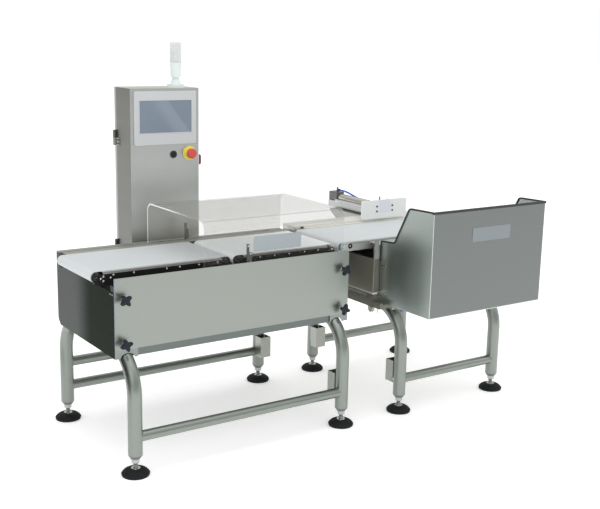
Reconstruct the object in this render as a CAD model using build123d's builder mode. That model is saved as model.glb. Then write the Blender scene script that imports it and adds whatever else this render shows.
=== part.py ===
from build123d import *
import os
from math import atan2, degrees, hypot, pi, radians, sqrt, tan

# In-line checkweigher with a side pusher and a reject bin. Millimetres, +Z up, product runs along +X.
# The origin is on the floor under the middle of the machine.
os.makedirs("parts", exist_ok=True)

# Conveyor line
infeed_length = 555
weigh_length = 470
reject_length = 795
infeed_gap = 8
reject_gap = 18
belt_width = 305
belt_top = 700
belt_thickness = 2
roller_d = 35
journal_d = 12
run_clearance = 0.3
journal_clearance = 0.05
side_gap = 3.5
side_plate_thickness = 8
black_plate_bottom = 652
black_plate_top = 690
steel_plate_bottom = 665
steel_plate_top = 700
plate_nose = 14
plate_end_flat = 0.5
roller_overhang = 1
journal_proud = 1
bed_thickness = 2
bed_roller_gap = 5
bed_lip = 12
spacer_d = 16
spacer_inset = 90

# How far the machine reaches in front of and behind the middle line of the belts
bin_reach = 556
pusher_reach = 549

# Belt drives
motor_inset = 60
motor_drop = 86
motor_size = 60
motor_can_d = 56
motor_can_length = 75
gearbox_length = 25
motor_shaft_d = 10
motor_shaft_depth = 16
motor_shaft_end_gap = 1
lug_width = 70
lug_hole_d = 18
pulley_d = 28
pulley_width = 11
pulley_offset = 3
timing_belt_width = 9
timing_belt_thickness = 1.7

# Tube stands
tube_d = 50.8
tube_wall = 2
bend_radius = 150
hoop_height = 432
leg_bottom = 75
leg_overhang = 49
first_leg = 86
second_leg = 60
third_leg = 218
fourth_leg = 52
rail_d = 38
rail_wall = 2
low_rail_height = 138
high_rail_height = 234
bracket_width = 50
bracket_depth = 36
bracket_height = 90
bracket_bottom = 123
bracket_wall = 4
bracket_grip = 15

# Levelling feet
pad_d = 100
pad_height = 25
pad_edge = 8
pad_neck_d = 40
pad_waist_d = 76
pad_waist_height = 20
pad_foot_inset = 2
socket_bottom = 10
stem_d = 16
stem_length = 100
nut_width = 27
nut_height = 14
plug_depth = 24
plug_taper = 14
plug_small_d = 34
plug_rim = 2
plug_clearance = 0.1
plug_bore_clearance = 0.2

# Infeed housing
sheet = 2
housing_left = 47
housing_right = 53
housing_depth = 522
housing_bottom = 411
panel_edge = 441
panel_top = 694
panel_corner = 16
tab_width = 85
end_plate_top = 644
rear_flange = 32
rear_overhang = 10
end_plate_nick = 20
deck_bottom = 478
deck_thickness = 4
panel_gap = 2
saddle_width = 60
post_width = 44
post_depth = 30
post_wall = 4
post_top = 664
post_hoop_gap = 3
notch_clearance = 2
notch_side_gap = 1
sill_bottom = 414
sill_depth = 30
sill_wall = 3
upright_width = 40
upright_thickness = 6
upright_overlap = 10
infeed_upright_inset = 130
infeed_upright_tail = 155

# Panel knobs
knob_inset = 31.5
knob_low = 464
knob_high = 621
knob_d = 46
knob_core_d = 24
knob_arm_d = 13
knob_arm_width = 10
knob_arms = 4
knob_thickness = 13
knob_hub_d = 16
knob_hub_length = 6
knob_standoff = 20
stud_d = 8
nut_boss_d = 15
nut_boss_length = 10
stud_end_gap = 1

# Weighing
cell_length = 150
cell_width = 40
cell_height = 30
cell_riser = 10
cell_end = 40
cell_hole_d = 20
cell_hole_pitch = 26
cell_slot = 4
platform_riser = 14
platform_thickness = 6
platform_margin = 20
weigh_upright_inset = 90
weigh_upright_tail = 190

# Clear cover over the weigh belt
cover_lead = 168
cover_tail = 20
cover_front_inset = 20
cover_back_inset = 45
cover_top = 858
cover_bottom = 685
cover_wall = 5
cover_corner = 35
ledge_width = 24
ledge_depth = 14
ledge_inset = 60
ledge_clearance = 0.3
ledge_lip = 12

# Photo eyes
eye_bracket_width = 10
eye_bracket_thickness = 3
eye_inset = 3
front_eye_inset = 10
eye_bracket_top = 760
eye_size = 12
eye_height = 40
eye_bottom = 688
rear_eye_gap = 3
rear_eye_rise = 4
rear_eye_bracket_inset = 1

# Reject housing
reject_lead = 110
reject_tail = 10
reject_front = 251
reject_frame_bar = 25
side_bar_width = 15
side_bar_bottom = 443
side_bar_height = 24
bin_support_reach = 45
reject_post = 20
reject_post_depth = 36
reject_post_wall = 3
reject_post_top = 715
cross_bar_top = 632
cross_bar_height = 20
reject_end_bottom = 502
reject_end_top = 640
pan_lip = 6
wall_inset = 4
wall_top = 690
reject_panel_lead = 10
reject_panel_top = 711
reject_flange = 90
front_rail_top = 625
front_rail_height = 20
joining_bar = 20
joining_bar_bottom = 478

# Reject bin
bin_lead = 33
bin_tail = 45
bin_bottom = 460
bin_sheet = 2
bin_side_top = 711
bin_step_y = 333
bin_step_z = 717
bin_shoulder_y = 414
bin_shoulder_z = 866
bin_front_top = 870
bin_back_top = 694
bin_lip_gap = 3
trim_proud = 3
trim_cover = 6
trim_width = 8
trim_bottom = 630
trim_corner = 3.5
bin_corner = 14

# Pusher
pusher_offset = 43.5
pusher_axis = 760
pusher_stroke = 250
pusher_plate_length = 251
pusher_plate_bottom = 712
pusher_plate_top = 795
pusher_plate_thickness = 10
pusher_plate_corner = 6
pusher_belt_gap = 2.5
pusher_block_gap = 8
pusher_block_length = 40
pusher_block_width = 124
pusher_block_bottom = 735
pusher_block_top = 785
pusher_bar_width = 60
pusher_bar_top = 743
pusher_bar_tail = 6
pusher_bar_chamfer = 6
guide_rod_d = 12
guide_rod_x = 44
guide_rod_z = 751
guide_rod_tail = 2
piston_rod_d = 16
piston_d = 27
piston_length = 16
piston_clearance = 0.1
barrel_d = 33
barrel_front_wall = 8
barrel_back_room = 4
barrel_in_block = 12
rear_block_length = 60
rear_block_width = 44
rear_block_top = 783
rear_block_corner = 5
shelf_thickness = 8
bracket_plate_thickness = 6
bracket_plate_bottom = 560
pusher_bracket_width = 120
gusset_thickness = 5

# Air hose
hose_d = 8
hose_height = 792
hose_side = 30
hose_side_height = 764
fitting_d = 12
fitting_length = 14
fitting_post_d = 8
fitting_post_top = 804
fitting_inset = 24
hose_straight = 0.2
hose_drop_middle = 0.45
hose_drop_end = 0.74
hose_sway = 4

# Control cabinet
cabinet_lead = 323
cabinet_width = 301
cabinet_gap = 28
cabinet_depth = 146
cabinet_bottom = 450
cabinet_top = 1293
cabinet_corner = 3
door_thickness = 17
door_gap = 0.5
cabinet_flange = 15
hinge_knuckle_d = 12
hinge_pin_d = 6
hinge_length = 60
hinge_leaf = 3
hinge_leaf_width = 28
hinge_inset = 170
hinge_side_gap = 6
hinge_axis_back = 6.5
lock_inset = 26
lock_height = 870
lock_head_d = 22
lock_head_length = 6
lock_shaft_d = 10
lock_cam_length = 27
lock_cam_width = 14
lock_cam_thickness = 3
lock_cam_gap = 1
carrier_height = 40
carrier_low = 470
carrier_high = 610
carrier_wall = 4
backplate_margin = 22
backplate_standoff = 10
backplate_top = 1040
standoff_d = 10
standoff_inset = 15
module_depth = 60
module_step = 12
module_height = 110
module_pitch = 160
module_bottom = 40
module_side = 20
module_gap = 10

# Operator panel
hmi_width = 272
hmi_height = 212
hmi_center = 1176
hmi_proud = 6
hmi_chamfer = 2
hmi_corner = 8
hmi_back_inset = 9
hmi_back_depth = 40
screen_width = 226
screen_height = 125
screen_center = 1182
screen_recess = 2
screen_thickness = 1.5
button_x = 185
button_z = 1031
estop_x = 257
estop_z = 1033
collar_d = 30
collar_height = 4
button_d = 20
button_proud = 7
button_depth = 18
button_chamfer = 1
panel_hole_d = 22
plunger_clearance = 0.1
estop_collar_d = 58
estop_collar_height = 3
estop_neck_d = 28
estop_neck_height = 8
estop_stem_d = 18
estop_stem_depth = 18
estop_head_d = 40
estop_head_height = 14
estop_head_corner = 5
estop_travel = 5
estop_gap = 0.5

# Main switch on the cabinet's right side
switch_y = 70
switch_z = 996
switch_base_d = 56
switch_base_height = 8
switch_knob_d = 46
switch_knob_height = 16
switch_grip_width = 15
switch_grip_height = 20
switch_shaft_d = 10
switch_shaft_length = 14
switch_hole_gap = 1
switch_grip_inset = 2

# Signal light
beacon_x = 235
beacon_y = 73
beacon_flange_d = 72
beacon_flange_height = 10
beacon_cone_d = 43
beacon_neck_d = 25
beacon_cone_height = 28
beacon_cup_d = 41
beacon_cup_top_d = 48
beacon_cup_height = 59
beacon_lens_d = 43
beacon_lens_height = 79
beacon_spigot_d = 34
beacon_spigot_height = 6
beacon_lens_corner = 6
beacon_lens_wall = 4

# Places that follow from the sizes above
line_length = infeed_length + infeed_gap + weigh_length + reject_gap + reject_length
infeed_x = -line_length / 2
weigh_x = infeed_x + infeed_length + infeed_gap
reject_x = weigh_x + weigh_length + reject_gap
line_y = (bin_reach - pusher_reach) / 2
infeed_end = infeed_x + infeed_length
weigh_end = weigh_x + weigh_length
reject_end = reject_x + reject_length
belt_inner_r = roller_d / 2 + run_clearance
belt_outer_r = belt_inner_r + belt_thickness
axle_z = belt_top - belt_outer_r
plate_in = belt_width / 2 + side_gap
plate_out = plate_in + side_plate_thickness
pulley_in = plate_out + pulley_offset
leg_y = housing_depth / 2 + leg_overhang
tube_r = tube_d / 2
hoop_top = hoop_height + tube_r
leg_xs = [infeed_x + first_leg, weigh_end - second_leg, reject_x + third_leg, reject_end - fourth_leg]
housing_x0 = leg_xs[0] - housing_left
housing_x1 = leg_xs[1] + housing_right
front_y = line_y - housing_depth / 2
rear_y = line_y + housing_depth / 2
deck_top = deck_bottom + deck_thickness
length_plane = Plane.XZ.offset(-line_y)


def save(piece, name):
    """Label a finished piece and write its file."""
    piece.part.label = name
    export_step(piece.part, f"parts/{name}.step")


def block(x0, x1, y0, y1, z0, z1, mode=Mode.ADD):
    """A square-edged block between two corners, in the open BuildPart."""
    with Locations(((x0 + x1) / 2, (y0 + y1) / 2, (z0 + z1) / 2)):
        Box(x1 - x0, y1 - y0, z1 - z0, mode=mode)


def bar_along_y(x, z, y0, y1, radius, mode=Mode.ADD):
    """A round bar or hole along Y, in the open BuildPart."""
    with Locations((x, (y0 + y1) / 2, z)):
        Cylinder(radius, y1 - y0, rotation=(90, 0, 0), mode=mode)


def bar_along_x(y, z, x0, x1, radius, mode=Mode.ADD):
    """A round bar or hole along X, in the open BuildPart."""
    with Locations(((x0 + x1) / 2, y, z)):
        Cylinder(radius, x1 - x0, rotation=(0, 90, 0), mode=mode)


def bar_along_z(x, y, z0, z1, radius, mode=Mode.ADD):
    """A round bar or hole along Z, in the open BuildPart."""
    with Locations((x, y, (z0 + z1) / 2)):
        Cylinder(radius, z1 - z0, mode=mode)


# Tube stands: bent hoops, rails and link brackets

def hoop_surface(y):
    """Height of the upper surface of a hoop at a Y between its legs."""
    run = max(0, abs(y - line_y) - (leg_y - bend_radius))
    return hoop_height - bend_radius + sqrt((bend_radius + tube_r) ** 2 - run ** 2)


with BuildPart() as stand_hoops:
    for leg_x in leg_xs:
        with BuildLine(Plane(origin=(leg_x, line_y, 0), x_dir=(0, 1, 0), z_dir=(1, 0, 0))) as hoop_path:
            FilletPolyline(
                (-leg_y, leg_bottom),
                (-leg_y, hoop_height),
                (leg_y, hoop_height),
                (leg_y, leg_bottom),
                radius=bend_radius,
            )
        with BuildSketch(Plane(origin=hoop_path.line @ 0, z_dir=hoop_path.line % 0)):
            Circle(tube_r)
            Circle(tube_r - tube_wall, mode=Mode.SUBTRACT)
        sweep(path=hoop_path.line)
save(stand_hoops, "stand_hoops")

rail_runs = [
    (leg_xs[0], leg_xs[1], -leg_y, low_rail_height),
    (leg_xs[0], leg_xs[1], leg_y, low_rail_height),
    (leg_xs[0], leg_xs[1], leg_y, high_rail_height),
    (leg_xs[2], leg_xs[3], -leg_y, low_rail_height),
    (leg_xs[2], leg_xs[3], leg_y, low_rail_height),
]
with BuildPart() as stand_rails:
    for rail_x0, rail_x1, rail_y, rail_z in rail_runs:
        bar_along_x(line_y + rail_y, rail_z, rail_x0, rail_x1, rail_d / 2)
        bar_along_x(line_y + rail_y, rail_z, rail_x0, rail_x1, rail_d / 2 - rail_wall, Mode.SUBTRACT)
    for leg_x in leg_xs:
        for side in (-1, 1):
            bar_along_z(leg_x, line_y + side * leg_y, leg_bottom, hoop_height, tube_r, Mode.SUBTRACT)
save(stand_rails, "stand_rails")

with BuildPart() as link_brackets:
    for leg_x in (leg_xs[1], leg_xs[2]):
        for side in (-1, 1):
            face = line_y + side * leg_y
            reach = face - side * (tube_r + bracket_depth)
            low, high = sorted((face - side * bracket_grip, reach))
            half = bracket_width / 2
            block(leg_x - half, leg_x + half, low, high, bracket_bottom, bracket_bottom + bracket_height)
            low, high = sorted((face, reach + side * bracket_wall))
            block(
                leg_x - half + bracket_wall, leg_x + half - bracket_wall, low, high,
                bracket_bottom, bracket_bottom + bracket_height, Mode.SUBTRACT,
            )
            bar_along_z(leg_x, face, bracket_bottom, bracket_bottom + bracket_height, tube_r, Mode.SUBTRACT)
            bar_along_x(face, low_rail_height, leg_x - half, leg_x + half, rail_d / 2, Mode.SUBTRACT)
save(link_brackets, "link_brackets")

# Levelling feet: a plug in each leg, a threaded stem with its nut, and a rubber pad

foot_places = [(leg_x, line_y + side * leg_y) for leg_x in leg_xs for side in (-1, 1)]

with BuildPart() as leg_end_plug:
    plug_r = tube_r - tube_wall - plug_clearance
    plug_bore = stem_d / 2 + plug_bore_clearance
    with BuildSketch(Plane.XZ):
        Polygon(
            (plug_bore, leg_bottom - plug_taper),
            (plug_small_d / 2, leg_bottom - plug_taper),
            (tube_r, leg_bottom - plug_rim),
            (tube_r, leg_bottom),
            (plug_r, leg_bottom),
            (plug_r, leg_bottom + plug_depth),
            (plug_bore, leg_bottom + plug_depth),
            align=None,
        )
    revolve(axis=Axis.Z)
with BuildPart() as leg_end_plugs:
    with Locations(*foot_places):
        add(leg_end_plug.part)
save(leg_end_plugs, "leg_end_plugs")

with BuildPart() as foot_stems:
    for foot_x, foot_y in foot_places:
        bar_along_z(foot_x, foot_y, socket_bottom, socket_bottom + stem_length, stem_d / 2)
        nut_top = leg_bottom - plug_taper
        with BuildSketch(Plane.XY.offset(nut_top - nut_height)):
            with Locations((foot_x, foot_y)):
                RegularPolygon(nut_width / 2, 6, major_radius=False)
        extrude(amount=nut_height)
save(foot_stems, "foot_stems")

with BuildPart() as foot_pad:
    socket_r = stem_d / 2 + run_clearance
    with BuildSketch(Plane.XZ):
        with BuildLine():
            Line((socket_r, socket_bottom), (socket_r, pad_height))
            Line((socket_r, pad_height), (pad_neck_d / 2, pad_height))
            ThreePointArc(
                (pad_neck_d / 2, pad_height),
                (pad_waist_d / 2, pad_waist_height),
                (pad_d / 2, pad_edge),
            )
            Polyline((pad_d / 2, pad_edge), (pad_d / 2 - pad_foot_inset, 0), (0, 0), (0, socket_bottom),
                     (socket_r, socket_bottom))
        make_face()
    revolve(axis=Axis.Z)
with BuildPart() as foot_pads:
    with Locations(*foot_places):
        add(foot_pad.part)
save(foot_pads, "foot_pads")

# Infeed housing: welded base frame, removable front panel, rear panel and end plates

post_y0 = front_y + sheet + panel_gap
sill_x0 = leg_xs[0] + tube_r + run_clearance
sill_x1 = leg_xs[1] - tube_r - run_clearance
knob_xs = (housing_x0 + knob_inset, housing_x1 - knob_inset)
knob_zs = (knob_low, knob_high)
weigh_uprights = (weigh_x + weigh_upright_inset, weigh_end - weigh_upright_tail)
cell_x = sum(weigh_uprights) / 2
cover_x0 = weigh_x - cover_lead
cover_x1 = weigh_end - cover_tail
cover_y0 = front_y + cover_front_inset
cover_y1 = rear_y - cover_back_inset


def corner_post(outer_x, side, outer_y, inward):
    """An angle post in a corner of the housing; its wide face is parallel to the front."""
    foot_z = hoop_surface(outer_y + inward * post_depth) + post_hoop_gap
    x0, x1 = sorted((outer_x, outer_x + side * post_width))
    y0, y1 = sorted((outer_y, outer_y + inward * post_wall))
    block(x0, x1, y0, y1, foot_z, post_top)
    x0, x1 = sorted((outer_x, outer_x + side * post_wall))
    y0, y1 = sorted((outer_y, outer_y + inward * post_depth))
    block(x0, x1, y0, y1, foot_z, post_top)


with BuildPart() as base_frame:
    block(housing_x0 + sheet, housing_x1 - sheet, post_y0, rear_y - sheet, deck_bottom, deck_top)
    for leg_x in leg_xs[:2]:
        half_run = leg_y - bend_radius
        block(leg_x - saddle_width / 2, leg_x + saddle_width / 2,
              line_y - half_run, line_y + half_run, hoop_top, deck_bottom)
    for web_y, inward in ((post_y0, 1), (rear_y - sheet, -1)):
        y0, y1 = sorted((web_y, web_y + inward * sill_wall))
        block(sill_x0, sill_x1, y0, y1, sill_bottom, deck_bottom)
        y0, y1 = sorted((web_y, web_y + inward * sill_depth))
        block(sill_x0, sill_x1, y0, y1, sill_bottom, sill_bottom + sill_wall)
        corner_post(housing_x0 + sheet, 1, web_y, inward)
        corner_post(housing_x1 - sheet, -1, web_y, inward)
    for knob_x in knob_xs:
        for knob_z in knob_zs:
            bar_along_y(knob_x, knob_z, post_y0, post_y0 + post_wall + nut_boss_length, nut_boss_d / 2)
            bar_along_y(knob_x, knob_z, post_y0, post_y0 + post_wall + nut_boss_length,
                        stud_d / 2 + journal_clearance, Mode.SUBTRACT)
    for upright_x in (infeed_x + infeed_upright_inset, infeed_end - infeed_upright_tail):
        for y0, y1 in ((line_y - plate_out - upright_thickness, line_y - plate_out),
                       (line_y + plate_out, line_y + plate_out + upright_thickness)):
            block(upright_x - upright_width / 2, upright_x + upright_width / 2, y0, y1,
                  deck_top, black_plate_bottom + upright_overlap)
    for ledge_x in (cover_x0 + ledge_inset, cover_x1 - ledge_inset):
        for wall_y in (cover_y0 + cover_wall / 2, cover_y1 - cover_wall / 2):
            block(ledge_x - ledge_width / 2, ledge_x + ledge_width / 2,
                  wall_y - ledge_depth / 2, wall_y + ledge_depth / 2, deck_top, cover_bottom + ledge_lip)
            slot = cover_wall / 2 + ledge_clearance
            block(ledge_x - ledge_width / 2, ledge_x + ledge_width / 2,
                  wall_y - slot, wall_y + slot, cover_bottom, cover_bottom + ledge_lip, Mode.SUBTRACT)
    block(cell_x - cell_length / 2, cell_x - cell_length / 2 + cell_end,
          line_y - cell_width / 2, line_y + cell_width / 2, deck_top, deck_top + cell_riser)
save(base_frame, "base_frame")

with BuildPart() as front_panel:
    with BuildSketch(Plane.XZ.offset(-front_y)):
        with Locations(((housing_x0 + housing_x1) / 2, (housing_bottom + panel_top) / 2)):
            Rectangle(housing_x1 - housing_x0, panel_top - housing_bottom)
        fillet(vertices().group_by(Axis.Y)[-1].sort_by(Axis.X)[-1], radius=panel_corner)
        with Locations(((housing_x0 + housing_x1) / 2, (housing_bottom + panel_edge) / 2)):
            Rectangle(housing_x1 - housing_x0 - 2 * tab_width, panel_edge - housing_bottom, mode=Mode.SUBTRACT)
        with Locations(*[(knob_x, knob_z) for knob_x in knob_xs for knob_z in knob_zs]):
            Circle(stud_d / 2 + journal_clearance, mode=Mode.SUBTRACT)
        notch_top = hoop_surface(front_y + sheet) + notch_clearance
        for leg_x in leg_xs[:2]:
            with Locations((leg_x, housing_bottom)):
                Ellipse(tube_r + notch_side_gap, notch_top - housing_bottom, mode=Mode.SUBTRACT)
    extrude(amount=-sheet)
save(front_panel, "front_panel")

reject_x0 = reject_x + reject_lead
reject_x1 = reject_end - reject_tail
with BuildPart() as rear_panels:
    block(housing_x0, housing_x1 + rear_overhang, rear_y - sheet, rear_y, panel_edge, panel_top)
    block(housing_x0, housing_x1 + rear_overhang, rear_y - rear_flange, rear_y, panel_top - sheet, panel_top)
    block(reject_x + reject_panel_lead, reject_x1, rear_y - sheet, rear_y, reject_end_bottom, reject_panel_top)
    block(reject_x + reject_panel_lead, reject_x1, rear_y - reject_flange, rear_y,
          reject_panel_top - sheet, reject_panel_top)
save(rear_panels, "rear_panels")

reject_y0 = line_y - reject_front
reject_y1 = rear_y - sheet
with BuildPart() as end_plates:
    for plate_x in (housing_x0, housing_x1 - sheet):
        with BuildSketch(Plane.YZ.offset(plate_x)):
            Polygon(
                (front_y + sheet + run_clearance, housing_bottom),
                (front_y + sheet + run_clearance, end_plate_top),
                (rear_y - sheet, end_plate_top),
                (rear_y - sheet, housing_bottom + end_plate_nick),
                (rear_y - sheet - end_plate_nick, housing_bottom),
                align=None,
            )
        extrude(amount=sheet)
    for plate_x in (reject_x0 - sheet, reject_x1):
        block(plate_x, plate_x + sheet, reject_y0, reject_y1, reject_end_bottom, reject_end_top)
save(end_plates, "end_plates")

# Star knobs that hold the front panel on

with BuildPart() as star_knob:
    stud_back = sheet + panel_gap + post_wall + nut_boss_length - stud_end_gap
    with BuildSketch(Plane.XZ.offset(knob_standoff)):
        Circle(knob_core_d / 2)
        arm_reach = (knob_d - knob_arm_d) / 2
        with PolarLocations(arm_reach, knob_arms, start_angle=180 / knob_arms):
            Circle(knob_arm_d / 2)
        with PolarLocations(arm_reach / 2, knob_arms, start_angle=180 / knob_arms):
            Rectangle(arm_reach, knob_arm_width)
    extrude(amount=knob_thickness)
    with BuildSketch(Plane.XZ.offset(knob_standoff - knob_hub_length)):
        Circle(knob_hub_d / 2)
    extrude(amount=knob_hub_length)
    with BuildSketch(Plane.XZ.offset(knob_standoff)):
        Circle(stud_d / 2)
    extrude(amount=-(knob_standoff + stud_back))
knob_number = 0
for knob_z in reversed(knob_zs):
    for knob_x in knob_xs:
        knob_number += 1
        with BuildPart() as placed_knob:
            with Locations((knob_x, front_y, knob_z)):
                add(star_knob.part)
        save(placed_knob, f"star_knob_{knob_number}")

# Conveyors: belt, slider bed, side plates, rollers and drive

lines = {
    "infeed": (infeed_x, infeed_length, black_plate_bottom, black_plate_top),
    "weigh": (weigh_x, weigh_length, black_plate_bottom, black_plate_top),
    "reject": (reject_x, reject_length, steel_plate_bottom, steel_plate_top),
}


def make_belt(x0, length):
    with BuildPart() as belt:
        with BuildSketch(length_plane):
            with Locations((x0 + length / 2, axle_z)):
                SlotOverall(length, 2 * belt_outer_r)
                SlotOverall(length - 2 * belt_thickness, 2 * belt_inner_r, mode=Mode.SUBTRACT)
        extrude(amount=belt_width / 2, both=True)
    return belt


def make_side_plates(x0, length, bottom, top):
    """Two plates joined by round spacers; the rear one carries the motor on a lug."""
    tail_x = x0 + belt_outer_r
    drive_x = x0 + length - belt_outer_r
    motor_x = drive_x - motor_inset
    motor_z = axle_z - motor_drop
    end = belt_outer_r - plate_nose
    radius = (top - bottom) / 2 - plate_end_flat
    with BuildPart() as plates:
        for side in (-1, 1):
            near = line_y + side * plate_in
            far = line_y + side * plate_out
            y0, y1 = sorted((near, far))
            with BuildSketch(Plane.XZ.offset(-y0)):
                with Locations((x0 + length / 2, (bottom + top) / 2)):
                    RectangleRounded(length - 2 * end, top - bottom, radius)
                if side > 0:
                    lug_bottom = motor_z - lug_width / 2
                    with Locations((motor_x, (lug_bottom + bottom + radius) / 2)):
                        Rectangle(lug_width, bottom + radius - lug_bottom)
                    with Locations((motor_x, motor_z)):
                        Circle(lug_hole_d / 2, mode=Mode.SUBTRACT)
                with Locations((tail_x, axle_z), (drive_x, axle_z)):
                    Circle(journal_d / 2 + journal_clearance, mode=Mode.SUBTRACT)
            extrude(amount=-(y1 - y0))
        for spacer_x in (x0 + spacer_inset, x0 + length - spacer_inset):
            bar_along_y(spacer_x, axle_z, line_y - plate_in, line_y + plate_in, spacer_d / 2)
    return plates


def make_roller(x, driven):
    """A roller with its journals; a driven one carries a pulley behind the rear plate."""
    body_half = belt_width / 2 + roller_overhang
    with BuildPart() as roller:
        bar_along_y(x, axle_z, line_y - body_half, line_y + body_half, roller_d / 2)
        back = pulley_in + pulley_width if driven else plate_out + journal_proud
        bar_along_y(x, axle_z, line_y - plate_out - journal_proud, line_y + back, journal_d / 2)
        if driven:
            bar_along_y(x, axle_z, line_y + pulley_in, line_y + pulley_in + pulley_width, pulley_d / 2)
    return roller


def make_motor_pulley(x, z):
    with BuildPart() as pulley:
        bar_along_y(x, z, line_y + plate_in - motor_shaft_depth + motor_shaft_end_gap,
                    line_y + pulley_in + pulley_width, motor_shaft_d / 2)
        bar_along_y(x, z, line_y + pulley_in, line_y + pulley_in + pulley_width, pulley_d / 2)
    return pulley


for line_name, (x0, length, bottom, top) in lines.items():
    drive_x = x0 + length - belt_outer_r
    save(make_belt(x0, length), f"{line_name}_belt")
    save(make_side_plates(x0, length, bottom, top), f"{line_name}_side_plates")
    save(make_roller(drive_x, True), f"{line_name}_drive_roller")
    save(make_roller(x0 + belt_outer_r, False), f"{line_name}_tail_roller")
    save(make_motor_pulley(drive_x - motor_inset, axle_z - motor_drop), f"{line_name}_motor_pulley")

with BuildPart() as slider_beds:
    bed_inset = belt_outer_r + roller_d / 2 + bed_roller_gap
    bed_top = belt_top - belt_thickness
    for line_name, (x0, length, bottom, top) in lines.items():
        bed_x0 = x0 + bed_inset
        bed_x1 = x0 + length - bed_inset
        wide = top < bed_top - bed_thickness
        half = plate_out if wide else plate_in
        lip_bottom = top if wide else max(bed_top - bed_lip, axle_z + spacer_d / 2 + run_clearance)
        block(bed_x0, bed_x1, line_y - half, line_y + half, bed_top - bed_thickness, bed_top)
        for y0 in (line_y - half, line_y + half - bed_thickness):
            block(bed_x0, bed_x1, y0, y0 + bed_thickness, lip_bottom, bed_top)
save(slider_beds, "slider_beds")

with BuildPart() as drive_motors:
    for x0, length, bottom, top in lines.values():
        motor_x = x0 + length - belt_outer_r - motor_inset
        motor_z = axle_z - motor_drop
        face_y = line_y + plate_in
        block(motor_x - motor_size / 2, motor_x + motor_size / 2, face_y - gearbox_length, face_y,
              motor_z - motor_size / 2, motor_z + motor_size / 2)
        bar_along_y(motor_x, motor_z, face_y - gearbox_length - motor_can_length,
                    face_y - gearbox_length, motor_can_d / 2)
        bar_along_y(motor_x, motor_z, face_y - motor_shaft_depth, face_y,
                    motor_shaft_d / 2 + journal_clearance, Mode.SUBTRACT)
save(drive_motors, "drive_motors")

with BuildPart() as timing_belts:
    belt_r = pulley_d / 2 + run_clearance
    for x0, length, bottom, top in lines.values():
        drive_x = x0 + length - belt_outer_r
        belt_y = line_y + pulley_in + (pulley_width - timing_belt_width) / 2
        with BuildSketch(Plane.XZ.offset(-belt_y)):
            with Locations((drive_x - motor_inset / 2, axle_z - motor_drop / 2)):
                slope = degrees(atan2(motor_drop, motor_inset))
                run = hypot(motor_inset, motor_drop)
                SlotCenterToCenter(run, 2 * (belt_r + timing_belt_thickness), rotation=slope)
                SlotCenterToCenter(run, 2 * belt_r, rotation=slope, mode=Mode.SUBTRACT)
        extrude(amount=-timing_belt_width)
save(timing_belts, "timing_belts")

# Weighing: bending-beam load cell and the platform that carries the weigh conveyor

cell_bottom = deck_top + cell_riser
cell_top = cell_bottom + cell_height
with BuildPart() as load_cell:
    block(cell_x - cell_length / 2, cell_x + cell_length / 2,
          line_y - cell_width / 2, line_y + cell_width / 2, cell_bottom, cell_top)
    for offset_x in (-cell_hole_pitch / 2, cell_hole_pitch / 2):
        bar_along_y(cell_x + offset_x, (cell_bottom + cell_top) / 2,
                    line_y - cell_width / 2, line_y + cell_width / 2, cell_hole_d / 2, Mode.SUBTRACT)
    block(cell_x - cell_hole_pitch / 2, cell_x + cell_hole_pitch / 2,
          line_y - cell_width / 2, line_y + cell_width / 2,
          (cell_bottom + cell_top - cell_slot) / 2, (cell_bottom + cell_top + cell_slot) / 2, Mode.SUBTRACT)
save(load_cell, "load_cell")

platform_bottom = cell_top + platform_riser
platform_top = platform_bottom + platform_thickness
with BuildPart() as weigh_platform:
    half = plate_out + upright_thickness
    block(weigh_uprights[0] - platform_margin, weigh_uprights[1] + platform_margin,
          line_y - half, line_y + half, platform_bottom, platform_top)
    for upright_x in weigh_uprights:
        for y0 in (line_y - half, line_y + plate_out):
            block(upright_x - upright_width / 2, upright_x + upright_width / 2, y0, y0 + upright_thickness,
                  platform_top, black_plate_bottom + upright_overlap)
    block(cell_x + cell_length / 2 - cell_end, cell_x + cell_length / 2,
          line_y - cell_width / 2, line_y + cell_width / 2, cell_top, platform_bottom)
save(weigh_platform, "weigh_platform")

# Clear cover: one bent sheet that stands in four forked ledges

with BuildPart() as draft_cover:
    with BuildSketch(Plane.YZ.offset(cover_x0)):
        with Locations(((cover_y0 + cover_y1) / 2, (cover_bottom + cover_top) / 2)):
            Rectangle(cover_y1 - cover_y0, cover_top - cover_bottom)
        fillet(vertices().group_by(Axis.Y)[-1], radius=cover_corner)
        inner_width = cover_y1 - cover_y0 - 2 * cover_wall
        inner_height = cover_top - cover_wall - cover_bottom
        with BuildSketch(mode=Mode.PRIVATE) as hollow:
            with Locations(((cover_y0 + cover_y1) / 2, cover_bottom + inner_height / 2)):
                Rectangle(inner_width, inner_height)
            fillet(hollow.vertices().group_by(Axis.Y)[-1], radius=cover_corner - cover_wall)
        add(hollow.sketch, mode=Mode.SUBTRACT)
    extrude(amount=cover_x1 - cover_x0)
save(draft_cover, "draft_cover")

# Photo eyes with their brackets

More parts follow.
